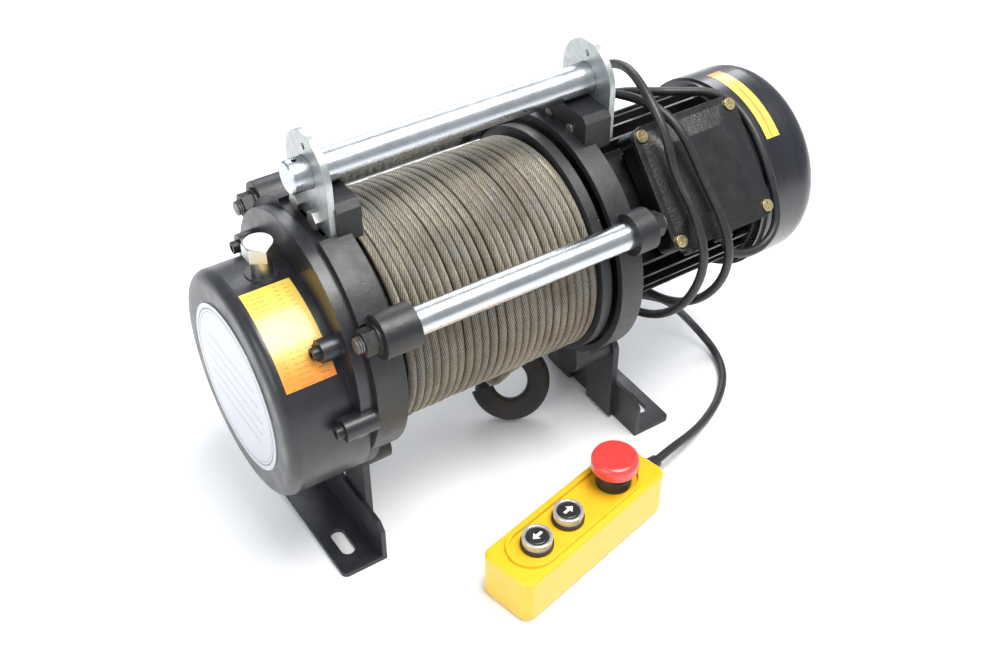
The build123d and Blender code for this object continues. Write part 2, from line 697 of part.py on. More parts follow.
def gland_plane(along, out):
    """Square to the terminal box's lower wall, out from it, moved along the motor."""
    frame = box_frame(80)
    side = frame.x_dir
    reach = BOX_WIDE / 2 - 3 + out
    origin = frame.origin + side * reach + Vector(0, along, 0)
    return Plane(origin, x_dir=(0, 1, 0), z_dir=side)


def box_gland(along, bore_r):
    body = extrude(gland_plane(along, 0) * RegularPolygon(11, 6), amount=4)
    body += extrude(gland_plane(along, 4) * Circle(8.5), amount=GLAND_OUT - 4)
    body = chamfer(body.faces().sort_by(Axis(body.center(), gland_plane(along, 0).z_dir))[-1].edges(), 1.5)
    body += extrude(gland_plane(along, -7) * Circle(6.9), amount=7)
    return body - extrude(gland_plane(along, -8) * Circle(bore_r), amount=GLAND_OUT + 9)


# ---- hanger ----------------------------------------------------------------------------
def hanger_plate(y0, y1):
    r = HANGER_DROP_R
    outline = Pos(0, HANGER_Z) * Circle(r)
    outline += Pos(0, (HANGER_Z + 97) / 2) * Rectangle(2 * r, HANGER_Z - 97)
    outline -= Pos(0, HANGER_Z) * Circle(HANGER_BAR_R + 0.3)
    outline -= Pos(0, HANGER_Z + 21) * Circle(2.5)
    for x in (-HANGER_BOLT_X, HANGER_BOLT_X):
        outline -= Pos(x, HANGER_BOLT_Z) * Circle(4.2)
    return slab(outline, y0, y1)


def hanger_plates():
    return group([hanger_plate(*HANGER_LEFT_Y), hanger_plate(*HANGER_RIGHT_Y)])


def hanger_bar():
    y0, y1 = HANGER_BAR_Y
    body = rod(HANGER_BAR_R, y0, y1, 0, HANGER_Z)
    ends = body.faces().filter_by(Axis.Y)
    body = chamfer(ends.sort_by(Axis.Y)[0].edges() + ends.sort_by(Axis.Y)[-1].edges(), 1.2)
    for y in (y0 + 7, y1 - 7):
        body -= Pos(0, y, AXIS_Z + HANGER_Z) * Cylinder(2.1, 40)
    return body


def hanger_bolts():
    solids = []
    for x in (-HANGER_BOLT_X, HANGER_BOLT_X):
        y = HANGER_LEFT_Y[0]
        solids.append(hexagon(13, y - 6, y, x, HANGER_BOLT_Z, 15) + rod(4, y, y + 28, x, HANGER_BOLT_Z))
        y = HANGER_RIGHT_Y[1]
        solids.append(hexagon(13, y, y + 6, x, HANGER_BOLT_Z, 15) + rod(4, y - 30, y, x, HANGER_BOLT_Z))
    return group(solids)


# ---- feet ------------------------------------------------------------------------------
def foot(side):
    """One angle iron with its two upright straps; side is -1 at the gearbox, 1 at the motor."""
    y_in = side * FOOT_Y
    y_leg = side * (FOOT_Y + FOOT_T)
    y_out = side * (FOOT_Y + FOOT_LEG)
    body = block(-FOOT_HALF, FOOT_HALF, y_in, y_leg, 0, FOOT_LEG)
    body = chamfer(body.edges().filter_by(Axis.Y).group_by(Axis.Z)[-1], 7)
    flat = block(-FOOT_HALF, FOOT_HALF, y_in, y_out, 0, FOOT_T)
    corners = flat.edges().filter_by(Axis.Z).sort_by(lambda e: abs(e.center().Y))[-2:]
    body += fillet(corners, 5)
    for x in (-SLOT_X, SLOT_X):
        slot = Plane((x, side * SLOT_Y, -1)) * SlotOverall(SLOT_L, SLOT_W)
        body -= extrude(slot, amount=FOOT_T + 2)
    for x in (-LOBE_XZ[0], LOBE_XZ[0]):
        strap_top = AXIS_Z + LOBE_XZ[1] + 11
        strap = block(x - STRUT_W / 2, x + STRUT_W / 2, y_in, y_in - side * STRUT_T, 3, strap_top)
        strap = fillet(strap.edges().filter_by(Axis.Y).group_by(Axis.Z)[-1], 12)
        y0, y1 = sorted((y_in, y_in - side * STRUT_T))
        body += strap - rod(4.3, y0 - 1, y1 + 1, x, LOBE_XZ[1])
    return body


def foot_bolts():
    solids = []
    x, z = LOBE_XZ
    for sx in (-x, x):
        y = -FOOT_Y
        solids.append(hexagon(13, y - 5.5, y, sx, z, 15) + rod(4, y, -106, sx, z))
        y = FOOT_Y
        solids.append(hexagon(13, y, y + 5.5, sx, z, 15) + rod(4, 106, y, sx, z))
    return group(solids)


# ---- hook and the rope's free end ------------------------------------------------------
def hook_plane():
    """x points along the shank and z out of the hook's face."""
    face = HOOK_FACE.normalized()
    shank = (HOOK_SHANK - face * HOOK_SHANK.dot(face)).normalized()
    return Plane(HOOK_AT, x_dir=shank, z_dir=face)


def hook():
    """A forged hook: an eye, a neck, and a bowl with its mouth on one side."""
    join = polar(HOOK_BOWL_R, -45)
    start = (join[0] + 18, join[1] + 18)
    tip = polar(HOOK_BOWL_R, 58)
    path = Wire([Edge.make_line(start, join), Edge.make_three_point_arc(join, polar(HOOK_BOWL_R, 180), tip)])
    section = Plane(start, x_dir=(0.7071, -0.7071, 0), z_dir=(-0.7071, -0.7071, 0))
    body = sweep(section * RectangleRounded(HOOK_WIDE, HOOK_THICK, 5), path=path)
    body += Pos(*tip, 0) * Sphere(HOOK_THICK / 2 - 0.5)
    body += Pos(EYE_AT, 0, 0) * Torus(EYE_R, EYE_SECTION_R)
    body -= Pos(*LATCH_AT, 0) * Cylinder(LATCH_PIN_R, 20)
    return hook_plane() * body


def hook_latch():
    """A sprung gate: two cheeks beside the hook's neck, and a web that shuts the mouth."""
    cheek_z = HOOK_THICK / 2 + 1.0
    body = Pos(LATCH_REACH - 6, -3.3, 0) * Box(12, 1.4, 2 * cheek_z + 1.2)
    for z in (-cheek_z, cheek_z):
        body += Pos(LATCH_REACH / 2 - 2, 0, z) * Box(LATCH_REACH + 4, 8, 1.2)
    body -= Cylinder(LATCH_PIN_R + RUN_GAP, 40)
    return hook_plane() * Pos(*LATCH_AT, 0) * Rot(0, 0, LATCH_ANGLE) * body


def latch_pin():
    length = HOOK_THICK + 4.6
    body = Cylinder(LATCH_PIN_R, length)
    for z in (-length / 2, length / 2):
        body += Pos(0, 0, z) * Cylinder(3.0, 1.0)
    return hook_plane() * Pos(*LATCH_AT, 0) * body


def loop_frame():
    """x runs from the hook's eye along the rope's ferrule; z is square to the loop."""
    eye = hook_plane()
    along = (eye.z_dir * 0.6 - eye.x_dir * 0.8).normalized()
    side = eye.z_dir.cross(eye.x_dir)
    centre = HOOK_AT + eye.x_dir * (EYE_AT + EYE_R) + along * 3.0
    return Plane(centre, x_dir=along, z_dir=side)


def beyond_ferrule(distance):
    frame = loop_frame()
    return frame.origin + frame.x_dir * (LOOP_R + FERRULE_L + distance)


def ferrule():
    frame = loop_frame()
    start = Plane(frame.origin + frame.x_dir * LOOP_R, x_dir=frame.z_dir, z_dir=frame.x_dir)
    body = extrude(start * Circle(FERRULE_R), amount=FERRULE_L)
    return chamfer(body.edges().filter_by(GeomType.CIRCLE), 1.2)


def rope_loop():
    return loop_frame() * Torus(LOOP_R, ROPE_D / 2) - ferrule()


# ---- cords -----------------------------------------------------------------------------
def cord_tube(name, points, diameter):
    """A tube along straight runs and the largest tangent arcs that the runs leave room for."""
    points = [Vector(*p) for p in points]
    radii = []
    for before, at, after in zip(points, points[1:], points[2:]):
        turn = math.radians((at - before).get_angle(after - at))
        shorter = min((at - before).length, (after - at).length)
        radii.append(0.45 * shorter / math.tan(turn / 2))
    path = FilletPolyline(*points, radius=radii)
    start = Plane(path @ 0, z_dir=path % 0)
    body = sweep(start * Circle(diameter / 2), path=path)
    full = path.length * math.pi * diameter**2 / 4
    print(name, "length", round(path.length, 1), "volume ratio", round(body.volume / full, 4))
    print("  radii in diameters:", [round(r / diameter, 1) for r in radii])
    return body


def rope_tail():
    return cord_tube("rope_tail", TAIL_ROUTE + [beyond_ferrule(12), beyond_ferrule(0)], ROPE_D)


def round_motor(degrees, r, y):
    """A point at an angle about the drum's axis, 0 at the front and 90 on top."""
    x, z = polar(r, degrees)
    return (x, y, AXIS_Z + z)


def gland_exit():
    return gland_plane(GLANDS_Y[0], GLAND_OUT).origin


def pendant_place():
    return Pos(*PENDANT_AT, 0) * Rot(0, 0, PENDANT_TURN)


def pendant_exit():
    return (pendant_place() * Pos(0, PENDANT_L + 20, CABLE_Z)).position


def cable_points():
    """Straight out of the box's gland, round the motor, and straight into the pendant's gland."""
    out_of_box = gland_plane(GLANDS_Y[0], GLAND_OUT + CABLE_OUT).origin
    into_pendant = (pendant_place() * Pos(0, PENDANT_L + 20 + CABLE_IN, CABLE_Z)).position
    loops = [round_motor(*place) for place in CABLE_LOOPS]
    return [gland_exit(), out_of_box] + loops + CABLE_LEAD + [into_pendant, pendant_exit()]


def control_cable():
    return cord_tube("control_cable", cable_points(), CABLE_D)


# ---- pendant ---------------------------------------------------------------------------
def pendant_outline(shrink):
    outline = RectangleRounded(PENDANT_W - 2 * shrink, PENDANT_L - 2 * shrink, 9 - shrink)
    return Pos(0, PENDANT_L / 2) * outline


def pendant_base():
    body = extrude(pendant_outline(0), amount=PENDANT_SPLIT)
    body = chamfer(body.faces().sort_by(Axis.Z)[0].edges(), 4)
    hollow = Plane.XY.offset(PENDANT_WALL + 1) * pendant_outline(PENDANT_WALL + 2)
    body -= extrude(hollow, amount=PENDANT_SPLIT)
    for spot in screw_spots():
        body += spot * Pos(0, 0, PENDANT_SPLIT / 2 + 1.5) * Cylinder(4.5, PENDANT_SPLIT - 3)
        body -= spot * (Cylinder(1.6, 3 * PENDANT_SPLIT) + Pos(0, 0, 2) * Cylinder(3.2, 4.2))
    bore = Plane((0, PENDANT_L - 10, CABLE_Z), x_dir=(1, 0, 0), z_dir=(0, 1, 0))
    return pendant_place() * (body - extrude(bore * Circle(PENDANT_BORE_R), amount=20, both=True))


def control_spots():
    return [BUTTON_AT["down"], BUTTON_AT["up"], ESTOP_AT]


def pendant_top():
    z0 = PENDANT_SPLIT
    body = extrude(Plane.XY.offset(z0) * pendant_outline(0), amount=PENDANT_H - z0)
    body = chamfer(body.faces().sort_by(Axis.Z)[-1].edges(), 2)
    rim = SlotOverall(PENDANT_L - 26, 42, rotation=90)
    rim_in = SlotOverall(PENDANT_L - 32, 36, rotation=90)
    top = Plane((0, PENDANT_L / 2 - 2, PENDANT_H - 1))
    body += extrude(top * (rim - rim_in), amount=4)
    body -= extrude(top * rim_in, amount=2)
    hollow = Plane.XY.offset(z0 - 1) * pendant_outline(PENDANT_WALL + 1)
    body -= extrude(hollow, amount=PENDANT_H - z0 - 1.5)
    for y in control_spots():
        body -= Pos(0, y, PENDANT_H) * Cylinder(11, 20)
    for spot in screw_spots():
        body += spot * Pos(0, 0, (z0 + PENDANT_H) / 2 - 1) * Cylinder(5.2, PENDANT_H - z0 - 2)
        body -= spot * Pos(0, 0, 20) * Cylinder(1.6, 40)
    return pendant_place() * body


def button_bezel(y):
    """A dark threaded bush with a clear rim that stands round the button."""
    z = PENDANT_H - 1
    body = Pos(0, y, z + 2) * Cylinder(13.5, 4)
    body += Pos(0, y, z - 7) * Cylinder(11, 14)
    return pendant_place() * (body - Pos(0, y, z) * Cylinder(9.3, 60))


def button_rim(y):
    z = PENDANT_H + 3
    body = Pos(0, y, z + 3.5) * (Cylinder(12.5, 7) - Cylinder(9.6, 8))
    top = body.edges().filter_by(GeomType.CIRCLE).group_by(Axis.Z)[-1]
    return pendant_place() * fillet(top, 1.1)


def button_cap(y):
    z = PENDANT_H - 6
    body = Pos(0, y, z + 8) * Cylinder(9.0, 16)
    body = fillet(body.edges().group_by(Axis.Z)[-1], 1.2)
    body += Pos(0, y, z - 2) * Cylinder(3, 4)
    return pendant_place() * body


def switch_block(y):
    """A contact block under a button; its plunger hole leaves room for the button's stem."""
    body = Pos(0, y, 18.5) * Box(22, 26, 25)
    body -= Pos(0, y, 30) * Cylinder(3.6, 18)
    for x in (-8, 8):
        body -= Pos(x, y, 8) * Cylinder(2.2, 8)
    return pendant_place() * body


def estop_collar():
    z = PENDANT_H - 1
    body = Pos(0, ESTOP_AT, z + 6) * Cylinder(15, 12)
    body = chamfer(body.edges().group_by(Axis.Z)[-1], 1.5)
    body += Pos(0, ESTOP_AT, z - 7) * Cylinder(11, 14)
    return pendant_place() * (body - Pos(0, ESTOP_AT, z) * Cylinder(9.3, 60))


def estop_head():
    z = PENDANT_H + 17
    cap = Pos(0, ESTOP_AT, z + 6.5) * Cylinder(20, 13)
    cap = fillet(cap.edges().group_by(Axis.Z)[-1], 5)
    cap = fillet(cap.edges().group_by(Axis.Z)[0], 2)
    body = cap + Pos(0, ESTOP_AT, z - 13) * Cylinder(9.0, 26)
    body += Pos(0, ESTOP_AT, z - 28) * Cylinder(3, 4)
    return pendant_place() * body


def screw_spots():
    return [Pos(x, y, 0) for x in (-18, 18) for y in (11, PENDANT_L - 11)]


def pendant_screws():
    """Long screws from below that hold the two shells together."""
    solids = []
    for spot in screw_spots():
        head = Pos(0, 0, 2.6) * Cylinder(3.2, 3)
        slots = Pos(0, 0, 1) * (Box(4.5, 0.9, 2) + Box(0.9, 4.5, 2))
        shank = Pos(0, 0, 22) * Cylinder(1.6, 36)
        solids.append(pendant_place() * spot * (head + shank - slots))
    return group(solids)


def pendant_gland():
    place = Plane((0, PENDANT_L, CABLE_Z), x_dir=(1, 0, 0), z_dir=(0, 1, 0))
    body = extrude(place * RegularPolygon(10, 6), amount=5)
    body += extrude(place.offset(5) * Circle(8), amount=15, taper=8)
    body += extrude(place.offset(-6) * Circle(PENDANT_BORE_R - RUN_GAP), amount=6)
    return pendant_place() * (body - extrude(place.offset(-7) * Circle(CABLE_D / 2), amount=7))


# ---- the whole hoist -------------------------------------------------------------------
def frame_nodes():
    return {
        "left_end_plate": left_end_plate(),
        "right_end_plate": right_end_plate(),
        "tie_rods": tie_rods(),
        "tie_rod_nuts": rod_nuts(),
        "hanger_plates": hanger_plates(),
        "hanger_bar": hanger_bar(),
        "hanger_bolts": hanger_bolts(),
        "feet": group([foot(-1), foot(1)]),
        "foot_bolts": foot_bolts(),
    }


def gearbox_nodes():
    return {
        "gear_cover": gear_cover(),
        "gaskets": group([cover_gasket(), lid_gasket()]),
        "cover_screws": cover_screws(),
        "oil_plug": oil_plug(),
        "nameplate": nameplate(),
        "blank_labels": blank_labels(),
        "input_pinion": input_pinion(),
        "layshaft_gear": layshaft_gear(),
        "layshaft": layshaft(),
        "drum_gear": drum_gear(),
        "shaft_bearings": shaft_bearings(),
        "shaft_seal": shaft_seal(),
    }


def drum_nodes():
    return {
        "drum": drum(),
        "drum_shaft": drum_shaft(),
        "drum_bearing_left": drum_bearing_left(),
        "drum_bearing_right": drum_bearing_right(),
        "rope_winding": rope_winding(),
        "rope_tail": rope_tail(),
        "rope_loop": rope_loop(),
        "rope_ferrule": ferrule(),
        "hook": hook(),
        "hook_latch": hook_latch(),
        "latch_pin": latch_pin(),
    }


def motor_nodes():
    return {
        "input_shaft": input_shaft(),
        "motor_body": motor_body(),
        "front_bell": front_bell(),
        "rear_bell": rear_bell(),
        "bell_screws": bell_screws(),
        "stator": stator(),
        "stator_windings": windings(),
        "rotor": rotor(),
        "brake_coil": brake_coil(),
        "brake_disc": brake_disc(),
        "fan": fan(),
        "fan_cover": fan_cover(),
        "terminal_box": terminal_box(),
        "box_lid": box_lid(),
        "lid_screws": lid_screws(),
        "box_glands": group([box_gland(GLANDS_Y[0], CABLE_D / 2), box_gland(GLANDS_Y[1], MAINS_BORE_R)]),
    }


def pendant_nodes():
    return {
        "control_cable": control_cable(),
        "pendant_gland": pendant_gland(),
        "pendant_base": pendant_base(),
        "pendant_top": pendant_top(),
        "pendant_screws": pendant_screws(),
        "button_bezels": group(button_bezel(y) for y in BUTTON_AT.values()),
        "button_rims": group(button_rim(y) for y in BUTTON_AT.values()),
        "down_button": button_cap(BUTTON_AT["down"]),
        "up_button": button_cap(BUTTON_AT["up"]),
        "switch_blocks": group(switch_block(y) for y in control_spots()),
        "estop_collar": estop_collar(),
        "estop_head": estop_head(),
    }


os.makedirs("parts", exist_ok=True)
nodes = {**frame_nodes(), **gearbox_nodes(), **drum_nodes(), **motor_nodes(), **pendant_nodes()}
for name, shape in nodes.items():
    export_step(shape, "parts/" + name + ".step")
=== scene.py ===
import math
import random
import bpy
import bmesh
from mathutils import Matrix, Vector


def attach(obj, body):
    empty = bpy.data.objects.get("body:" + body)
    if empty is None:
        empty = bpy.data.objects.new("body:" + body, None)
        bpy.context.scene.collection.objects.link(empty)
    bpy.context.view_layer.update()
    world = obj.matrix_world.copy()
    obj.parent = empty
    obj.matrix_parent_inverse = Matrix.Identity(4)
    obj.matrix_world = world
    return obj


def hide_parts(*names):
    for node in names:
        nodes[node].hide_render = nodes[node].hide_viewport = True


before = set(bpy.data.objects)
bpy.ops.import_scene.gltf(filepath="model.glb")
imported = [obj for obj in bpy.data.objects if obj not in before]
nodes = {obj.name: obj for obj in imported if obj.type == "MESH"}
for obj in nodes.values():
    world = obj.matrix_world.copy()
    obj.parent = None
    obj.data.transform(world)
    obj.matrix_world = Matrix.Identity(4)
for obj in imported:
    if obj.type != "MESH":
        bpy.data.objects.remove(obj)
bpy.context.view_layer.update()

MM = 0.001
AXIS_Z = 198.0          # height of the drum's axis, in mm, as in the CAD


# ---- camera ------------------------------------------------------------------------------
CAMERA_EYE = Vector((0.7025, -0.4338, 0.8363))
CAMERA_TARGET = Vector((0.0517, 0.0, 0.1655))
CAMERA_LENS = 46.47
CAMERA_SENSOR = 36.0
CAMERA_ROLL = 0.4       # degrees


def make_camera():
    cam = bpy.data.objects.new("camera", bpy.data.cameras.new("camera"))
    bpy.context.scene.collection.objects.link(cam)
    cam.data.sensor_width = CAMERA_SENSOR
    cam.data.lens = CAMERA_LENS
    cam.location = CAMERA_EYE
    look = (CAMERA_TARGET - CAMERA_EYE).to_track_quat("-Z", "Y")
    cam.rotation_mode = "QUATERNION"
    cam.rotation_quaternion = look @ Matrix.Rotation(math.radians(CAMERA_ROLL), 4, "Z").to_quaternion()
    bpy.context.scene.camera = cam


make_camera()

# ---- cords: the same routes as the CAD's, in mm --------------------------------------------
ROPE_D = 7.0
CABLE_D = 7.5
TAIL_ROUTE = [
    (46, 13, 114), (32, 14.5, 93), (21, 14.8, 79), (7, 18, 68.5), (-8, 27, 64),
    (-19.93, 33.37, 63.70), (-31.9, 32.51, 63.70),
]
CABLE_START = [(97.59, 188, 209.17), (102.94, 188, 203.22)]
CABLE_LOOPS = [           # angle about the motor's axis, distance from it, and y
    (0, 108, 195), (-1, 110, 208), (-1, 109, 222), (2, 106, 235), (8, 101, 244), (20, 97, 245),
    (37, 95, 245), (55, 94, 246), (72, 93, 245), (84, 91, 237), (93, 89, 219), (102, 90, 200),
    (117, 93, 182), (141, 97, 170), (176, 99, 169), (213, 98, 174), (248, 98, 180), (283, 99, 182),
    (318, 103, 181), (350, 115, 179), (14, 123, 175), (41, 108, 170), (59, 119, 164),
    (72, 121, 157), (86, 114, 149), (105, 109, 138), (138, 107, 133), (170, 104, 137),
    (204, 101, 143), (238, 99, 149), (272, 99, 152), (306, 101, 151), (338, 109, 151),
    (7, 121, 151), (27, 116, 149), (46, 109, 146), (60, 123, 146), (73, 131, 147),
    (87, 134, 153), (100, 127, 161), (114, 119, 167), (130, 116, 168), (149, 113, 160),
    (176, 111, 151), (204, 111, 151), (231, 110, 157),
]
CABLE_LEAD = [
    (-34, 162, 91), (-3, 172, 92), (9, 193, 88), (8, 217, 71), (4, 240, 44), (10, 259, 18),
    (33, 264, 5), (62, 251, 4), (86, 225, 4), (104, 192, 7), (118, 162, 17),
    (126.86, 131.51, 24), (131.81, 110.08, 24),
]


def round_motor(degrees, r, y):
    a = math.radians(degrees)
    return (r * math.cos(a), y, AXIS_Z + r * math.sin(a))


def nurbs(name, points, thickness=1.0):
    """A smooth open curve with these control points, given in mm. Its bevel is a share of thickness."""
    curve = bpy.data.curves.new(name, "CURVE")
    curve.dimensions = "3D"
    curve.resolution_u = 6
    spline = curve.splines.new("NURBS")
    spline.points.add(len(points) - 1)
    for point, place in zip(spline.points, points):
        point.co = (place[0] * MM, place[1] * MM, place[2] * MM, 1.0)
        point.radius = thickness
    spline.order_u = 3
    spline.use_endpoint_u = True
    obj = bpy.data.objects.new(name, curve)
    bpy.context.scene.collection.objects.link(obj)
    return obj


def points_along(curve_obj):
    """Points on a curve's smooth line, in metres."""
    depsgraph = bpy.context.evaluated_depsgraph_get()
    line = bpy.data.meshes.new_from_object(curve_obj.evaluated_get(depsgraph))
    points = [v.co.copy() for v in line.vertices]
    bpy.data.meshes.remove(line)
    return points


def make_cable():
    route = CABLE_START + [round_motor(*place) for place in CABLE_LOOPS] + CABLE_LEAD
    cable = nurbs("control_cord", route, thickness=CABLE_D / 2 * MM)
    cable.data.bevel_depth = 1.0
    cable.data.bevel_resolution = 6
    cable.data.use_fill_caps = True
    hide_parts("control_cable")
    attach(cable, "hoist_frame")
    return cable


# ---- rope ----------------------------------------------------------------------------------
STRANDS = 12
LAY = 0.047             # one turn of the strands along the rope, in metres
WRAP_STEP = 0.0026      # distance between a wrap's sections
FINE_STEP = 0.0015      # the same for the short pieces
ROPE_SIDES = 36


def resampled(points, step):
    """Points a fixed distance apart along a line."""
    out = [points[0]]
    left = step
    for a, b in zip(points, points[1:]):
        run = (b - a).length
        at = left
        while at <= run:
            out.append(a.lerp(b, at / run))
            at += step
        left = at - run
    if (out[-1] - points[-1]).length > step * 0.3:
        out.append(points[-1])
    return out


def strand_envelope(angle):
    """Distance from a rope's middle to its skin, as a share of its radius; 0 is a strand's middle."""
    pitch = 2 * math.pi / STRANDS
    a = (angle + pitch / 2) % pitch - pitch / 2
    half = math.sin(pitch / 2)
    strand = half / (1 + half)
    centre = 1 - strand
    under = strand**2 - (centre * math.sin(a)) ** 2
    return centre * math.cos(a) + math.sqrt(max(0.0, under))


def rope_mesh(name, points, step):
    """A laid rope along a line: its outer strands twist round one another, in one skin."""
    path = resampled(points, step)
    count = len(path)
    sides = ROPE_SIDES
    radius = ROPE_D / 2 * MM
    mesh = bpy.data.meshes.new(name)
    verts = []
    reference = None
    along = 0.0
    lengths = []
    for i in range(count):
        before = path[max(i - 1, 0)]
        after = path[min(i + 1, count - 1)]
        tangent = (after - before).normalized()
        if reference is None:
            reference = tangent.orthogonal().normalized()
        reference = (reference - tangent * reference.dot(tangent)).normalized()
        side = tangent.cross(reference)
        twist = 2 * math.pi * along / LAY
        for k in range(sides):
            a = 2 * math.pi * k / sides
            r = radius * strand_envelope(a)
            direction = reference * math.cos(a + twist) + side * math.sin(a + twist)
            verts.append(path[i] + direction * r)
        lengths.append(along)
        along += step
    faces = []
    uvs = []
    for i in range(count - 1):
        j = i + 1
        for k in range(sides):
            m = (k + 1) % sides
            faces.append((i * sides + k, i * sides + m, j * sides + m, j * sides + k))
            u0, u1 = k / sides, (k + 1) / sides
            v0, v1 = lengths[i], lengths[i] + step
            uvs.extend([(u0, v0), (u1, v0), (u1, v1), (u0, v1)])
    faces.append(tuple(range(sides - 1, -1, -1)))
    faces.append(tuple((count - 1) * sides + k for k in range(sides)))
    uvs.extend([(0.0, 0.0)] * (2 * sides))
    mesh.from_pydata(verts, [], faces)
    layer = mesh.uv_layers.new(name="lay")
    flat = [c for uv in uvs for c in uv]
    layer.data.foreach_set("uv", flat)
    mesh.polygons.foreach_set("use_smooth", [True] * len(mesh.polygons))
    obj = bpy.data.objects.new(name, mesh)
    bpy.context.scene.collection.objects.link(obj)
    return obj


def make_tail():
    guide = nurbs("tail_guide", TAIL_ROUTE)
    path = points_along(guide)
    bpy.data.objects.remove(guide)
    tail = rope_mesh("rope_free_end", path, FINE_STEP)
    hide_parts("rope_tail")
    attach(tail, "hoist_frame")
    return tail


cable = make_cable()
tail = make_tail()


# ---- materials -----------------------------------------------------------------------------
class Shader:
    """One material's node tree, with short calls for the nodes it uses most."""

    def __init__(self, name):
        self.material = bpy.data.materials.new(name)
        self.material.use_nodes = True
        self.tree = self.material.node_tree
        self.bsdf = self.tree.nodes["Principled BSDF"]
        self.place = self.tree.nodes.new("ShaderNodeTexCoord").outputs["Object"]

    def node(self, kind, inputs=None, **settings):
        made = self.tree.nodes.new("ShaderNode" + kind)
        for key, value in settings.items():
            setattr(made, key, value)
        for key, value in (inputs or {}).items():
            self.feed(made.inputs[key], value)
        return made

    def feed(self, socket, value):
        if isinstance(value, bpy.types.NodeSocket):
            self.tree.links.new(value, socket)
        elif value is not None:
            socket.default_value = value

    def set(self, **values):
        for key, value in values.items():
            self.feed(self.bsdf.inputs[key.replace("_", " ")], value)

    def math(self, operation, a, b=0.0):
        return self.node("Math", {0: a, 1: b}, operation=operation).outputs[0]

    def axes(self, vector=None):
        return self.node("SeparateXYZ", {0: vector or self.place}).outputs

    def noise(self, scale, detail=3.0, rough=0.55, vector=None):
        inputs = {"Vector": vector or self.place, "Scale": scale, "Detail": detail, "Roughness": rough}
        return self.node("TexNoise", inputs).outputs["Fac"]

    def cells(self, scale):
        return self.node("TexVoronoi", {"Vector": self.place, "Scale": scale}).outputs["Distance"]

    def stretched(self, x, y, z):
        return self.node("Mapping", {"Vector": self.place, "Scale": (x, y, z)}).outputs[0]

    def span(self, value, low, high, to_low=0.0, to_high=1.0):
        made = self.node("MapRange", {0: value, 1: low, 2: high, 3: to_low, 4: to_high}, clamp=True)
        return made.outputs[0]

    def mix(self, factor, a, b):
        made = self.node("Mix", data_type="RGBA")
        self.feed(made.inputs[0], factor)
        self.feed(made.inputs[6], a if isinstance(a, bpy.types.NodeSocket) else (*a, 1.0))
        self.feed(made.inputs[7], b if isinstance(b, bpy.types.NodeSocket) else (*b, 1.0))
        return made.outputs[2]

    def bump(self, height, strength, distance, under=None):
        inputs = {"Height": height, "Strength": strength, "Distance": distance}
        if under is not None:
            inputs["Normal"] = under
        return self.node("Bump", inputs).outputs[0]

    def rounded(self, radius):
        return self.node("Bevel", {"Radius": radius}, samples=4).outputs[0]

    def edges(self, radius):
        """Near 1 on sharp outer and inner edges, 0 elsewhere."""
        soft = self.rounded(radius)
        true = self.node("NewGeometry").outputs["Normal"]
        same = self.node("VectorMath", {0: soft, 1: true}, operation="DOT_PRODUCT").outputs["Value"]
        return self.span(same, 0.995, 0.90)


def casting(name, tone, rough, grain=1.0, gloss=0.0):
    """Black enamel over a rough casting: lumps, fine grain, pits, dust on top and rubbed edges."""
    s = Shader(name)
    lumps = s.noise(38.0, 3.0)
    fine = s.noise(620.0, 2.0)
    pits = s.span(s.cells(130.0), 0.0, 0.16)
    sparse = s.span(s.noise(24.0, 2.0), 0.56, 0.66)
    pitted = s.math("MULTIPLY", s.math("SUBTRACT", 1.0, pits), sparse)
    up = s.span(s.axes(s.node("NewGeometry").outputs["Normal"])[2], 0.1, 1.0)
    dust = s.math("MULTIPLY", up, s.span(s.noise(70.0, 6.0, 0.7), 0.45, 0.8))
    wear = s.math("MULTIPLY", s.edges(0.0016), s.span(s.noise(160.0, 4.0), 0.42, 0.7))
    colour = s.mix(lumps, [c * 0.75 for c in tone], [c * 1.3 for c in tone])
    colour = s.mix(s.math("MULTIPLY", dust, 0.10), colour, (0.17, 0.165, 0.16))
    colour = s.mix(s.math("MULTIPLY", wear, 0.22), colour, (0.16, 0.165, 0.175))
    roughness = s.span(s.noise(55.0, 4.0), 0.3, 0.75, rough - 0.07, rough + 0.10)
    normal = s.bump(lumps, 0.25 * grain, 0.002, s.rounded(0.0011))
    normal = s.bump(fine, 0.30 * grain, 0.0004, normal)
    normal = s.bump(pitted, 0.5 * grain, -0.0007, normal)
    s.set(Base_Color=colour, Roughness=roughness, Normal=normal, Specular_IOR_Level=0.5)
    s.set(Coat_Weight=gloss, Coat_Roughness=0.2)
    return s.material


def pressed_cover():
    """Smooth semi-gloss enamel with faint vertical wipes and scuffs."""
    s = Shader("enamel_smooth")
    wipes = s.noise(30.0, 5.0, 0.6, s.stretched(1.0, 7.0, 1.0))
    scuffs = s.span(s.noise(340.0, 3.0, 0.6, s.stretched(1.0, 0.15, 1.0)), 0.66, 0.76)
    marks = s.math("MULTIPLY", scuffs, s.span(s.noise(9.0, 3.0), 0.52, 0.62))
    colour = s.mix(wipes, (0.006, 0.0065, 0.010), (0.012, 0.013, 0.019))
    colour = s.mix(s.math("MULTIPLY", marks, 0.4), colour, (0.15, 0.15, 0.16))
    normal = s.bump(s.noise(90.0, 3.0), 0.10, 0.0008, s.rounded(0.0012))
    normal = s.bump(s.noise(1400.0, 2.0), 0.08, 0.0002, normal)
    s.set(Base_Color=colour, Roughness=s.span(wipes, 0.3, 0.7, 0.24, 0.38), Normal=normal)
    s.set(Coat_Weight=0.3, Coat_Roughness=0.12)
    return s.material


THREAD_PITCH = 0.00175
THREADS_LEFT, THREADS_RIGHT = -0.1305, 0.1045   # where the tie rods' plain middle stops, in y


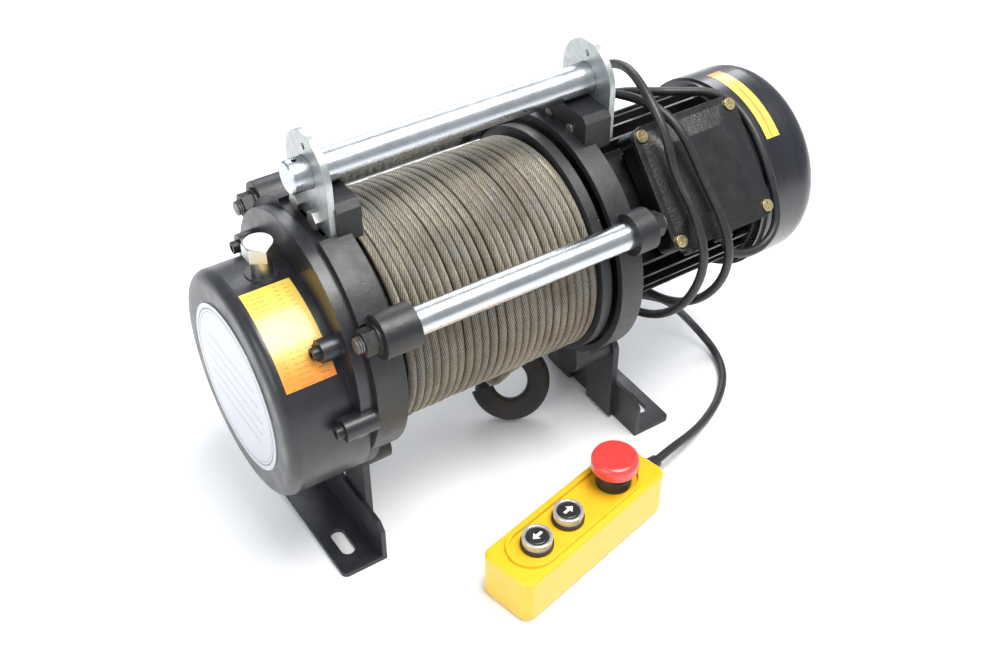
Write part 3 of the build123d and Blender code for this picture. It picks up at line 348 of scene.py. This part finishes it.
def zinc(name, tone, rough, threads=False, spangle=0.0, dull=0.0):
    """Zinc plate: bright, faintly drawn along its length, blotched, with small dull and rusty spots."""
    s = Shader(name)
    drawn = s.noise(900.0, 3.0, 0.6, s.stretched(1.0, 0.03, 1.0))
    blotch = s.noise(60.0, 5.0, 0.65)
    grains = s.node("TexVoronoi", {"Vector": s.place, "Scale": 210.0}).outputs["Color"]
    flake = s.axes(grains)[0]
    rust = s.math("MULTIPLY", s.span(s.noise(420.0, 4.0), 0.68, 0.78), s.span(s.noise(26.0, 2.0), 0.5, 0.62))
    colour = s.mix(s.span(blotch, 0.3, 0.75), [c * 0.90 for c in tone], tone)
    colour = s.mix(s.math("MULTIPLY", flake, spangle), colour, [c * 0.66 for c in tone])
    colour = s.mix(s.math("MULTIPLY", rust, 0.55), colour, (0.20, 0.11, 0.055))
    roughness = s.span(blotch, 0.25, 0.8, rough - 0.04, rough + 0.06)
    normal = s.bump(drawn, 0.10, 0.0003, s.rounded(0.0006))
    normal = s.bump(flake, 0.16 * spangle, 0.0004, normal)
    if threads:
        y = s.axes()[1]
        ridge = s.math("PINGPONG", y, THREAD_PITCH / 2)
        left_end = s.math("LESS_THAN", y, THREADS_LEFT)
        ends = s.math("MAXIMUM", left_end, s.math("GREATER_THAN", y, THREADS_RIGHT))
        normal = s.bump(s.math("MULTIPLY", ridge, ends), 1.0, 1.2, normal)
        colour = s.mix(s.math("MULTIPLY", ends, 0.75), colour, (0.12, 0.105, 0.09))
        roughness = s.math("MAXIMUM", roughness, s.math("MULTIPLY", ends, 0.45))
    s.set(Base_Color=colour, Roughness=roughness, Metallic=1.0 - dull, Normal=normal)
    return s.material


def dark_fastener():
    """Black oxide: dark, oily, with bare steel along the corners and a trace of rust."""
    s = Shader("black_oxide")
    blotch = s.noise(260.0, 4.0)
    wear = s.math("MULTIPLY", s.edges(0.0008), s.span(blotch, 0.4, 0.65))
    colour = s.mix(blotch, (0.014, 0.014, 0.015), (0.045, 0.044, 0.043))
    colour = s.mix(s.math("MULTIPLY", wear, 0.5), colour, (0.26, 0.25, 0.24))
    rust = s.span(s.noise(480.0, 3.0), 0.62, 0.74)
    colour = s.mix(s.math("MULTIPLY", rust, 0.35), colour, (0.13, 0.06, 0.03))
    normal = s.bump(s.noise(1100.0, 3.0), 0.2, 0.0002, s.rounded(0.0005))
    s.set(Base_Color=colour, Metallic=0.55, Roughness=s.span(blotch, 0.3, 0.7, 0.3, 0.5), Normal=normal)
    return s.material


def rope_steel():
    """Greased wire: fine wires along each strand, dark grease in the valleys, brown and straw tints."""
    s = Shader("wire_rope")
    u = s.axes(s.node("UVMap", uv_map="lay").outputs[0])[0]     # share of a turn round the rope
    wires = s.math("SINE", s.math("MULTIPLY", u, 2 * math.pi * 60))
    lobe = s.math("COSINE", s.math("MULTIPLY", u, 2 * math.pi * STRANDS))
    patch = s.noise(17.0, 4.0, 0.6)
    fine = s.noise(520.0, 3.0)
    steel = s.mix(s.span(patch, 0.35, 0.68), (0.26, 0.225, 0.17), (0.47, 0.43, 0.345))
    steel = s.mix(s.span(s.noise(46.0, 3.0), 0.5, 0.75), steel, (0.33, 0.32, 0.31))
    steel = s.mix(s.math("MULTIPLY", s.span(fine, 0.52, 0.72), 0.6), steel, (0.12, 0.085, 0.05))
    grease = s.span(lobe, -1.0, 0.15, 1.0, 0.0)
    colour = s.mix(s.math("MULTIPLY", grease, 0.86), steel, (0.022, 0.018, 0.013))
    normal = s.bump(wires, 0.55, 0.00022)
    normal = s.bump(fine, 0.2, 0.0003, normal)
    rough = s.span(fine, 0.3, 0.7, 0.34, 0.56)
    s.set(Base_Color=colour, Metallic=0.62, Roughness=rough, Normal=normal)
    return s.material


def machined(name, tone, rough):
    s = Shader(name)
    turned = s.noise(1500.0, 2.0, 0.5, s.stretched(0.4, 1.0, 0.4))
    film = s.noise(80.0, 4.0)
    colour = s.mix(film, [c * 0.72 for c in tone], tone)
    normal = s.bump(turned, 0.12, 0.0002, s.rounded(0.0004))
    roughness = s.span(film, 0.3, 0.7, rough, rough + 0.15)
    s.set(Base_Color=colour, Metallic=1.0, Roughness=roughness, Normal=normal)
    return s.material


def plastic(name, tone, rough, grain=0.5, coat=0.0, subsurface=0.0, shift=0.08):
    """Moulded plastic: slight mottling, fine spark-eroded grain and rubbed, paler edges."""
    s = Shader(name)
    mottle = s.noise(50.0, 4.0)
    colour = s.mix(mottle, [c * (1 - shift) for c in tone], [min(1.0, c * (1 + shift)) for c in tone])
    wear = s.math("MULTIPLY", s.edges(0.0009), 0.18)
    colour = s.mix(wear, colour, [min(1.0, c * 1.5 + 0.02) for c in tone])
    smear = s.noise(24.0, 5.0, 0.6)
    normal = s.bump(s.noise(1900.0, 2.0), 0.16 * grain, 0.00025, s.rounded(0.0009))
    normal = s.bump(s.noise(70.0, 2.0), 0.06, 0.001, normal)
    s.set(Base_Color=colour, Roughness=s.span(smear, 0.3, 0.7, rough - 0.05, rough + 0.08), Normal=normal)
    s.set(Coat_Weight=coat, Coat_Roughness=0.08, Subsurface_Weight=subsurface, Subsurface_Scale=0.002)
    return s.material


def rubber():
    s = Shader("rubber_sheath")
    mottle = s.noise(120.0, 5.0, 0.65)
    dust = s.span(s.noise(33.0, 5.0, 0.7), 0.52, 0.78)
    colour = s.mix(mottle, (0.008, 0.008, 0.009), (0.016, 0.016, 0.018))
    colour = s.mix(s.math("MULTIPLY", dust, 0.16), colour, (0.09, 0.088, 0.085))
    normal = s.bump(s.noise(800.0, 3.0), 0.18, 0.0003)
    s.set(Base_Color=colour, Roughness=s.span(mottle, 0.3, 0.7, 0.38, 0.55), Normal=normal)
    return s.material


def forged():
    """Black forging: scale, hammer dimples and faint brown on the worn inside."""
    s = Shader("forged_steel")
    scale = s.noise(85.0, 6.0, 0.7)
    brown = s.span(s.noise(40.0, 4.0, 0.65), 0.52, 0.74)
    colour = s.mix(scale, (0.016, 0.017, 0.018), (0.050, 0.050, 0.052))
    colour = s.mix(s.math("MULTIPLY", brown, 0.5), colour, (0.085, 0.052, 0.032))
    colour = s.mix(s.math("MULTIPLY", s.edges(0.0015), 0.25), colour, (0.16, 0.155, 0.15))
    normal = s.bump(scale, 0.5, 0.0009, s.rounded(0.0012))
    normal = s.bump(s.cells(300.0), 0.25, 0.0004, normal)
    s.set(Base_Color=colour, Metallic=0.25, Roughness=s.span(scale, 0.3, 0.7, 0.42, 0.62), Normal=normal)
    return s.material


COVER_Z = AXIS_Z - 29.0     # height of the gear cover's middle, in mm


def silver_plate():
    """Blank silver-white foil with printed rings near its edge and plain ruled lines."""
    s = Shader("nameplate_foil")
    x, _, z = s.axes()[:3]
    up = s.math("SUBTRACT", z, COVER_Z * MM)
    r = s.math("SQRT", s.math("ADD", s.math("POWER", x, 2.0), s.math("POWER", up, 2.0)))
    outer = s.math("MULTIPLY", s.math("GREATER_THAN", r, 0.0632), s.math("LESS_THAN", r, 0.0642))
    inner = s.math("MULTIPLY", s.math("GREATER_THAN", r, 0.0608), s.math("LESS_THAN", r, 0.0612))
    ring = s.math("MAXIMUM", outer, inner)
    sheen = s.noise(26.0, 5.0, 0.6)
    colour = s.mix(sheen, (0.47, 0.49, 0.535), (0.60, 0.62, 0.66))
    specks = s.span(s.noise(300.0, 4.0), 0.64, 0.74)
    colour = s.mix(s.math("MULTIPLY", specks, 0.4), colour, (0.40, 0.38, 0.36))
    row = s.math("PINGPONG", up, 0.0065)
    height = s.math("ABSOLUTE", up)
    field = s.math("MULTIPLY", s.math("LESS_THAN", height, 0.034), s.math("LESS_THAN", r, 0.047))
    ruled = s.math("MULTIPLY", s.math("LESS_THAN", row, 0.00045), field)
    ring = s.math("MAXIMUM", ring, s.math("MULTIPLY", ruled, 0.8))
    colour = s.mix(ring, colour, (0.05, 0.052, 0.06))
    normal = s.bump(s.noise(60.0, 3.0), 0.12, 0.0008, s.rounded(0.0004))
    normal = s.bump(s.noise(1600.0, 2.0), 0.10, 0.0002, normal)
    s.set(Base_Color=colour, Metallic=0.55, Roughness=s.span(sheen, 0.3, 0.7, 0.26, 0.40), Normal=normal)
    return s.material


def label_film():
    """Blank yellow film that turns orange at one end, with plain ruled lines and a few creases."""
    s = Shader("label_film")
    x, y, z = s.axes()[:3]
    on_cover = s.math("LESS_THAN", y, 0.0)
    on_motor = s.math("SUBTRACT", 1.0, on_cover)
    middle = s.math("ADD", COVER_Z * MM, s.math("MULTIPLY", on_motor, (AXIS_Z - COVER_Z) * MM))
    angle = s.math("ARCTAN2", s.math("SUBTRACT", z, middle), x)
    warm = s.span(s.math("ADD", angle, s.math("MULTIPLY", s.noise(40.0, 3.0), 0.35)), 0.78, 1.12, 1.0, 0.0)
    warm = s.math("MULTIPLY", warm, on_cover)
    warm_strip = s.math("MULTIPLY", s.span(angle, 1.45, 1.75), on_motor)
    colour = s.mix(s.math("MAXIMUM", warm, warm_strip), (0.80, 0.53, 0.085), (0.84, 0.20, 0.025))
    colour = s.mix(s.math("MULTIPLY", s.noise(120.0, 4.0), 0.3), colour, (0.72, 0.46, 0.07))
    row = s.math("PINGPONG", angle, 0.022)
    inside = s.math("MULTIPLY", s.math("GREATER_THAN", y, -0.1925), s.math("LESS_THAN", y, -0.160))
    gaps = s.math("GREATER_THAN", s.noise(95.0, 1.0, 0.5, s.stretched(0.2, 3.0, 0.2)), 0.47)
    ruled = s.math("MULTIPLY", s.math("LESS_THAN", row, 0.0042), s.math("MULTIPLY", inside, gaps))
    along = s.math("MULTIPLY", s.math("GREATER_THAN", y, 0.2655), s.math("LESS_THAN", y, 0.2680))
    ruled = s.math("MAXIMUM", ruled, s.math("MULTIPLY", along, gaps))
    colour = s.mix(s.math("MULTIPLY", ruled, 0.62), colour, (0.20, 0.12, 0.04))
    creases = s.noise(34.0, 5.0, 0.6)
    normal = s.bump(creases, 0.3, 0.0012)
    s.set(Base_Color=colour, Roughness=s.span(creases, 0.3, 0.7, 0.28, 0.42), Normal=normal)
    s.set(Coat_Weight=0.4, Coat_Roughness=0.15)
    return s.material


def clear_plastic():
    s = Shader("clear_rim")
    smear = s.noise(400.0, 3.0)
    colour = s.mix(smear, (0.80, 0.82, 0.84), (0.92, 0.93, 0.95))
    normal = s.bump(s.noise(900.0, 2.0), 0.06, 0.0002, s.rounded(0.0005))
    s.set(Base_Color=colour, Metallic=0.35, Roughness=s.span(smear, 0.3, 0.7, 0.04, 0.12), Normal=normal)
    s.set(Transmission_Weight=0.55, IOR=1.49)
    return s.material


def laminated():
    s = Shader("laminations")
    sheets = s.math("PINGPONG", s.axes()[1], 0.00025)
    colour = s.mix(s.noise(90.0, 3.0), (0.10, 0.10, 0.11), (0.24, 0.24, 0.25))
    s.set(Base_Color=colour, Metallic=0.8, Roughness=0.45, Normal=s.bump(sheets, 0.8, 1.0))
    return s.material


def enamelled_copper():
    s = Shader("copper_coils")
    turns = s.noise(1300.0, 2.0, 0.5, s.stretched(0.2, 1.0, 0.2))
    colour = s.mix(turns, (0.30, 0.09, 0.03), (0.62, 0.24, 0.09))
    s.set(Base_Color=colour, Metallic=0.6, Roughness=0.3, Normal=s.bump(turns, 0.5, 0.0006))
    return s.material


BLACK = (0.0105, 0.011, 0.013)
YELLOW = (0.80, 0.47, 0.014)
FINISHES = {
    "casting": (casting("cast_enamel", BLACK, 0.44), [
        "left_end_plate", "right_end_plate", "front_bell", "rear_bell", "drum"]),
    "cover": (casting("cover_enamel", (0.012, 0.013, 0.016), 0.36, 0.7, 0.15), ["gear_cover"]),
    "motor": (casting("motor_enamel", (0.006, 0.0062, 0.0072), 0.34, 1.0, 0.1), [
        "motor_body", "terminal_box"]),
    "lid": (casting("lid_enamel", (0.008, 0.0085, 0.0095), 0.34, 2.0), ["box_lid"]),
    "angle": (casting("angle_enamel", (0.017, 0.018, 0.021), 0.42, 0.5), ["feet"]),
    "smooth": (pressed_cover(), ["fan_cover"]),
    "bar": (zinc("zinc_bar", (0.57, 0.60, 0.63), 0.27), ["hanger_bar"]),
    "rods": (zinc("zinc_rods", (0.56, 0.59, 0.61), 0.25, threads=True), ["tie_rods"]),
    "plates": (zinc("galvanized", (0.54, 0.57, 0.57), 0.36, spangle=0.55, dull=0.1), ["hanger_plates"]),
    "plug": (zinc("zinc_plug", (0.62, 0.62, 0.58), 0.32, spangle=0.2), [
        "hanger_bolts", "oil_plug", "pendant_screws"]),
    "brassy": (zinc("yellow_zinc", (0.80, 0.66, 0.36), 0.28), ["lid_screws"]),
    "latch": (zinc("zinc_latch", (0.58, 0.59, 0.60), 0.32), ["hook_latch", "latch_pin"]),
    "dark": (dark_fastener(), ["tie_rod_nuts", "cover_screws", "foot_bolts", "bell_screws"]),
    "steel": (machined("machined_steel", (0.56, 0.57, 0.58), 0.25), [
        "drum_shaft", "drum_gear", "drum_bearing_left", "drum_bearing_right", "shaft_bearings", "layshaft",
        "layshaft_gear", "input_shaft", "input_pinion", "brake_disc"]),
    "ferrule": (machined("pressed_aluminium", (0.68, 0.69, 0.70), 0.36), ["rope_ferrule"]),
    "hook": (forged(), ["hook"]),
    "foil": (silver_plate(), ["nameplate"]),
    "film": (label_film(), ["blank_labels"]),
    "iron": (laminated(), ["stator", "rotor"]),
    "copper": (enamelled_copper(), ["stator_windings", "brake_coil"]),
    "fan": (plastic("fan_plastic", (0.04, 0.04, 0.04), 0.5), ["fan"]),
    "rubber": (rubber(), ["gaskets", "shaft_seal"]),
    "mould": (plastic("black_plastic", (0.016, 0.016, 0.018), 0.38, 1.0), [
        "box_glands", "pendant_gland", "button_bezels", "switch_blocks", "estop_collar"]),
    "caps": (plastic("button_plastic", (0.020, 0.020, 0.022), 0.26, 0.4, coat=0.3), [
        "down_button", "up_button"]),
    "rims": (clear_plastic(), ["button_rims"]),
    "shell": (plastic("yellow_shell", YELLOW, 0.34, 0.8, coat=0.25, subsurface=0.08, shift=0.04), [
        "pendant_base", "pendant_top"]),
    "red": (plastic("red_plastic", (0.74, 0.050, 0.045), 0.27, 0.3, coat=0.3, subsurface=0.06, shift=0.05), [
        "estop_head"]),
}
ROPE = rope_steel()
WHITE_PRINT = plastic("white_print", (0.80, 0.80, 0.78), 0.4, 0.3)


def dress(obj, material):
    obj.data.materials.clear()
    obj.data.materials.append(material)


def finish_nodes():
    for material, names in FINISHES.values():
        for name in names:
            slots = nodes[name].material_slots
            for slot in slots:
                slot.link = "OBJECT"
                slot.material = material


finish_nodes()
dress(cable, FINISHES["rubber"][0])
dress(tail, ROPE)


# ---- the rope on the drum ------------------------------------------------------------------
WINDING_R = 88.5        # middle of the top layer's rope
WIND_LEFT, WIND_RIGHT = -108.4, 62.4
TAIL_TURN = -61.3       # the angle about the drum at which the free end leaves it
TAIL_LEAVES_R = 95.8
TAIL_Y = 13.0
LEFT_WRAPS, RIGHT_WRAPS = 17, 7
PER_TURN = 180          # points on one wrap
LIFT_TURN = 22.0        # degrees over which the rope lifts off to its free end
SINK_TURN, SINK = 30.0, 5.5     # degrees over which, and how far, the next wrap starts lower
LOWER_TROUGH = 61.5     # inner radius of the layer below
LOWER_R, LOWER_PITCH, LOWER_ROPE_R = 82.2, 7.12, 3.4
LOOP_MIDDLE = (-65.8184, 30.1027, 63.6987)
LOOP_R = 12.0


def smooth_step(t):
    t = min(1.0, max(0.0, t))
    return t * t * (3 - 2 * t)


def wrap_line(y_from, pitches, first_angle, seed, lifts_off):
    """Wraps that lie square to the drum and step over by a pitch near its top at the back."""
    rng = random.Random(seed)
    total = len(pitches) * PER_TURN
    phase = [rng.uniform(0, 6.28) for _ in range(4)]
    points = []
    for i in range(total + 1):
        turns = i / PER_TURN
        angle = first_angle - 360.0 * turns
        whole = min(int(turns), len(pitches) - 1)
        centre = 0.52 + 0.003 * whole
        y = y_from + sum(pitches[:whole])
        y += pitches[whole] * smooth_step((turns - whole - centre) / 0.26 + 0.5)
        y += 0.16 * math.sin(2.3 * turns + phase[0]) * math.sin(6.28 * turns + phase[1])
        r = WINDING_R + 0.22 * math.sin(1.7 * turns + phase[2]) + 0.15 * math.sin(12.56 * turns + phase[3])
        if lifts_off:
            left = (total - i) / PER_TURN * 360.0
            if left < LIFT_TURN:
                r += (TAIL_LEAVES_R - r) * (1 - left / LIFT_TURN) ** 2
                y += (TAIL_Y - y) * smooth_step(1 - left / LIFT_TURN)
        else:
            gone = turns * 360.0
            r -= SINK * (1 - smooth_step(gone / SINK_TURN))
        a = math.radians(angle)
        points.append(Vector((r * math.cos(a), y, AXIS_Z + r * math.sin(a))) * MM)
    return points


def spread(total, count, seed):
    """That many pitches that add up to total, uneven, with a few wider gaps."""
    rng = random.Random(seed)
    shares = [1.0 + rng.uniform(0.0, 0.05) + (0.12 if rng.random() < 0.28 else 0.0) for _ in range(count)]
    scale = total / sum(shares)
    return [share * scale for share in shares]


def make_winding():
    left_pitches = spread(TAIL_Y - WIND_LEFT, LEFT_WRAPS, 11)
    left = wrap_line(WIND_LEFT, left_pitches, TAIL_TURN, 5, True)
    right_pitches = spread(WIND_RIGHT - TAIL_Y, RIGHT_WRAPS, 23)
    right = wrap_line(TAIL_Y, right_pitches, TAIL_TURN, 9, False)
    pieces = [
        rope_mesh("rope_wraps_left", left, WRAP_STEP),
        rope_mesh("rope_wraps_right", right, WRAP_STEP),
    ]
    for piece in pieces:
        dress(piece, ROPE)
        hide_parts("rope_winding")
        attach(piece, "rope_drum")


def lathe(name, outline, segments=96):
    """Turns a closed outline of (radius, y) in metres about the drum's axis."""
    mesh = bpy.data.meshes.new(name)
    verts = []
    for k in range(segments):
        a = 2 * math.pi * k / segments
        for r, y in outline:
            verts.append((r * math.cos(a), y, AXIS_Z * MM + r * math.sin(a)))
    n = len(outline)
    faces = []
    for k in range(segments):
        j = (k + 1) % segments
        for i in range(n):
            m = (i + 1) % n
            faces.append((k * n + i, k * n + m, j * n + m, j * n + i))
    mesh.from_pydata(verts, [], faces)
    mesh.polygons.foreach_set("use_smooth", [True] * len(mesh.polygons))
    obj = bpy.data.objects.new(name, mesh)
    bpy.context.scene.collection.objects.link(obj)
    return obj


def under_layer():
    """The layer below the top one, as ridges a rope wide, dark with grease and with painted shade: its
    colour is kept far darker than the top rope's, for the shade in the gaps between the top wraps.
    """
    outline = [(LOWER_TROUGH * MM, (WIND_LEFT - 3.0) * MM)]
    count = int((WIND_RIGHT - WIND_LEFT) / LOWER_PITCH) + 1
    for i in range(count):
        middle = WIND_LEFT + 1.6 + LOWER_PITCH * i
        if middle > WIND_RIGHT:
            break
        for k in range(7):
            a = math.pi * k / 6
            r = LOWER_R + LOWER_ROPE_R * math.sin(a)
            outline.append((r * MM, (middle - LOWER_ROPE_R * math.cos(a)) * MM))
    outline.append((LOWER_TROUGH * MM, (WIND_RIGHT + 3.0) * MM))
    made = lathe("rope_lower_layer", outline)
    s = Shader("rope_under_painted_shade")
    hatch = s.noise(240.0, 3.0, 0.6)
    # painted shade: these near-black tones stand for the shade the top wraps throw on the layer below, as
    # well as its grease
    colour = s.mix(hatch, (0.012, 0.010, 0.008), (0.085, 0.072, 0.055))
    s.set(Base_Color=colour, Metallic=0.4, Roughness=0.55, Normal=s.bump(hatch, 0.8, 0.0008))
    dress(made, s.material)
    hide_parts("rope_winding")
    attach(made, "rope_drum")


def end_loop():
    """The rope's loop through the hook's eye, laid like the rope itself."""
    ring = nodes["rope_loop"].data.vertices
    middle = Vector(LOOP_MIDDLE) * MM
    far = max((v.co - middle for v in ring), key=lambda c: c.length)
    along = far.normalized()
    normal = max((along.cross(v.co - middle) for v in ring), key=lambda c: c.length).normalized()
    side = normal.cross(along)
    points = []
    for i in range(97):
        a = 2 * math.pi * i / 96
        points.append(middle + (along * math.cos(a) + side * math.sin(a)) * LOOP_R * MM)
    made = rope_mesh("rope_end_loop", points, FINE_STEP)
    dress(made, ROPE)
    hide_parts("rope_loop")
    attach(made, "hoist_frame")


make_winding()
under_layer()
end_loop()


# ---- small pieces --------------------------------------------------------------------------
def extruded(name, outline, thickness, place):
    """A flat outline in mm, raised along its plane's z and set in place."""
    mesh = bpy.data.meshes.new(name)
    made = bmesh.new()
    loop = [made.verts.new((x * MM, y * MM, 0.0)) for x, y in outline]
    face = made.faces.new(loop)
    raised = bmesh.ops.extrude_face_region(made, geom=[face])
    top = [v for v in raised["geom"] if isinstance(v, bmesh.types.BMVert)]
    bmesh.ops.translate(made, verts=top, vec=(0, 0, thickness * MM))
    bmesh.ops.recalc_face_normals(made, faces=made.faces)
    made.to_mesh(mesh)
    made.free()
    mesh.transform(place)
    obj = bpy.data.objects.new(name, mesh)
    bpy.context.scene.collection.objects.link(obj)
    return obj


ARROW = [(-1.3, -5.2), (1.3, -5.2), (1.3, 0.4), (4.0, 0.4), (0.0, 5.2), (-4.0, 0.4), (-1.3, 0.4)]
ARROW_Z = 0.05598       # the buttons' tops, in metres
ARROW_T = 0.14
PENDANT = Matrix.Translation((0.175, -0.077, 0.0)) @ Matrix.Rotation(math.radians(13.0), 4, "Z")


def button_arrow(name, body, y, way):
    """A plain printed arrow on a button, pointing along the pendant."""
    outline = [(x, way * length) for x, length in ARROW]
    place = PENDANT @ Matrix.Translation((0.0, y * MM, ARROW_Z))
    made = extruded(name, outline, ARROW_T, place)
    dress(made, WHITE_PRINT)
    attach(made, body)


button_arrow("arrow_down", "down_button", 38.0, -1)
button_arrow("arrow_up", "up_button", 75.0, 1)


# ---- studio --------------------------------------------------------------------------------
FLOOR_HALF = 6.0        # half the floor's width, in metres
SKY, SKY_STRENGTH = (0.90, 0.945, 1.0, 1.0), 0.56
AIM = (0.05, 0.05, 0.15)        # what the lamps point at
LAMPS = {               # place, size, watts and tint of each
    "key": ((0.5, 0.3, 1.9), (1.3, 1.0), 56.0, (1.0, 0.985, 0.96)),
    "fill": ((0.5, -1.9, 1.0), (1.4, 1.1), 17.0, (0.95, 0.975, 1.0)),
    "back": ((-1.4, 0.9, 1.2), (1.2, 1.0), 20.0, (0.95, 0.97, 1.0)),
}


def floor():
    mesh = bpy.data.meshes.new("floor")
    half = FLOOR_HALF
    corners = [(-half, -half, 0), (half, -half, 0), (half, half, 0), (-half, half, 0)]
    mesh.from_pydata(corners, [], [(0, 1, 2, 3)])
    obj = bpy.data.objects.new("floor", mesh)
    bpy.context.scene.collection.objects.link(obj)
    obj.location.z = -0.0002
    material = bpy.data.materials.new("floor_white")
    material.use_nodes = True
    bsdf = material.node_tree.nodes["Principled BSDF"]
    bsdf.inputs["Base Color"].default_value = (0.93, 0.93, 0.935, 1.0)
    bsdf.inputs["Roughness"].default_value = 0.75
    dress(obj, material)


def softbox(name, at, size, power, tint):
    light = bpy.data.lights.new(name, "AREA")
    light.shape = "RECTANGLE"
    light.size, light.size_y = size
    light.energy = power
    light.color = tint
    obj = bpy.data.objects.new(name, light)
    bpy.context.scene.collection.objects.link(obj)
    obj.location = at
    obj.rotation_mode = "QUATERNION"
    obj.rotation_quaternion = (Vector(AIM) - Vector(at)).to_track_quat("-Z", "Y")


def studio():
    world = bpy.data.worlds.new("studio")
    bpy.context.scene.world = world
    world.use_nodes = True
    background = world.node_tree.nodes["Background"]
    background.inputs["Color"].default_value = SKY
    background.inputs["Strength"].default_value = SKY_STRENGTH
    for name, lamp in LAMPS.items():
        softbox(name, *lamp)
    bpy.context.scene.view_settings.view_transform = "Standard"


floor()
studio()
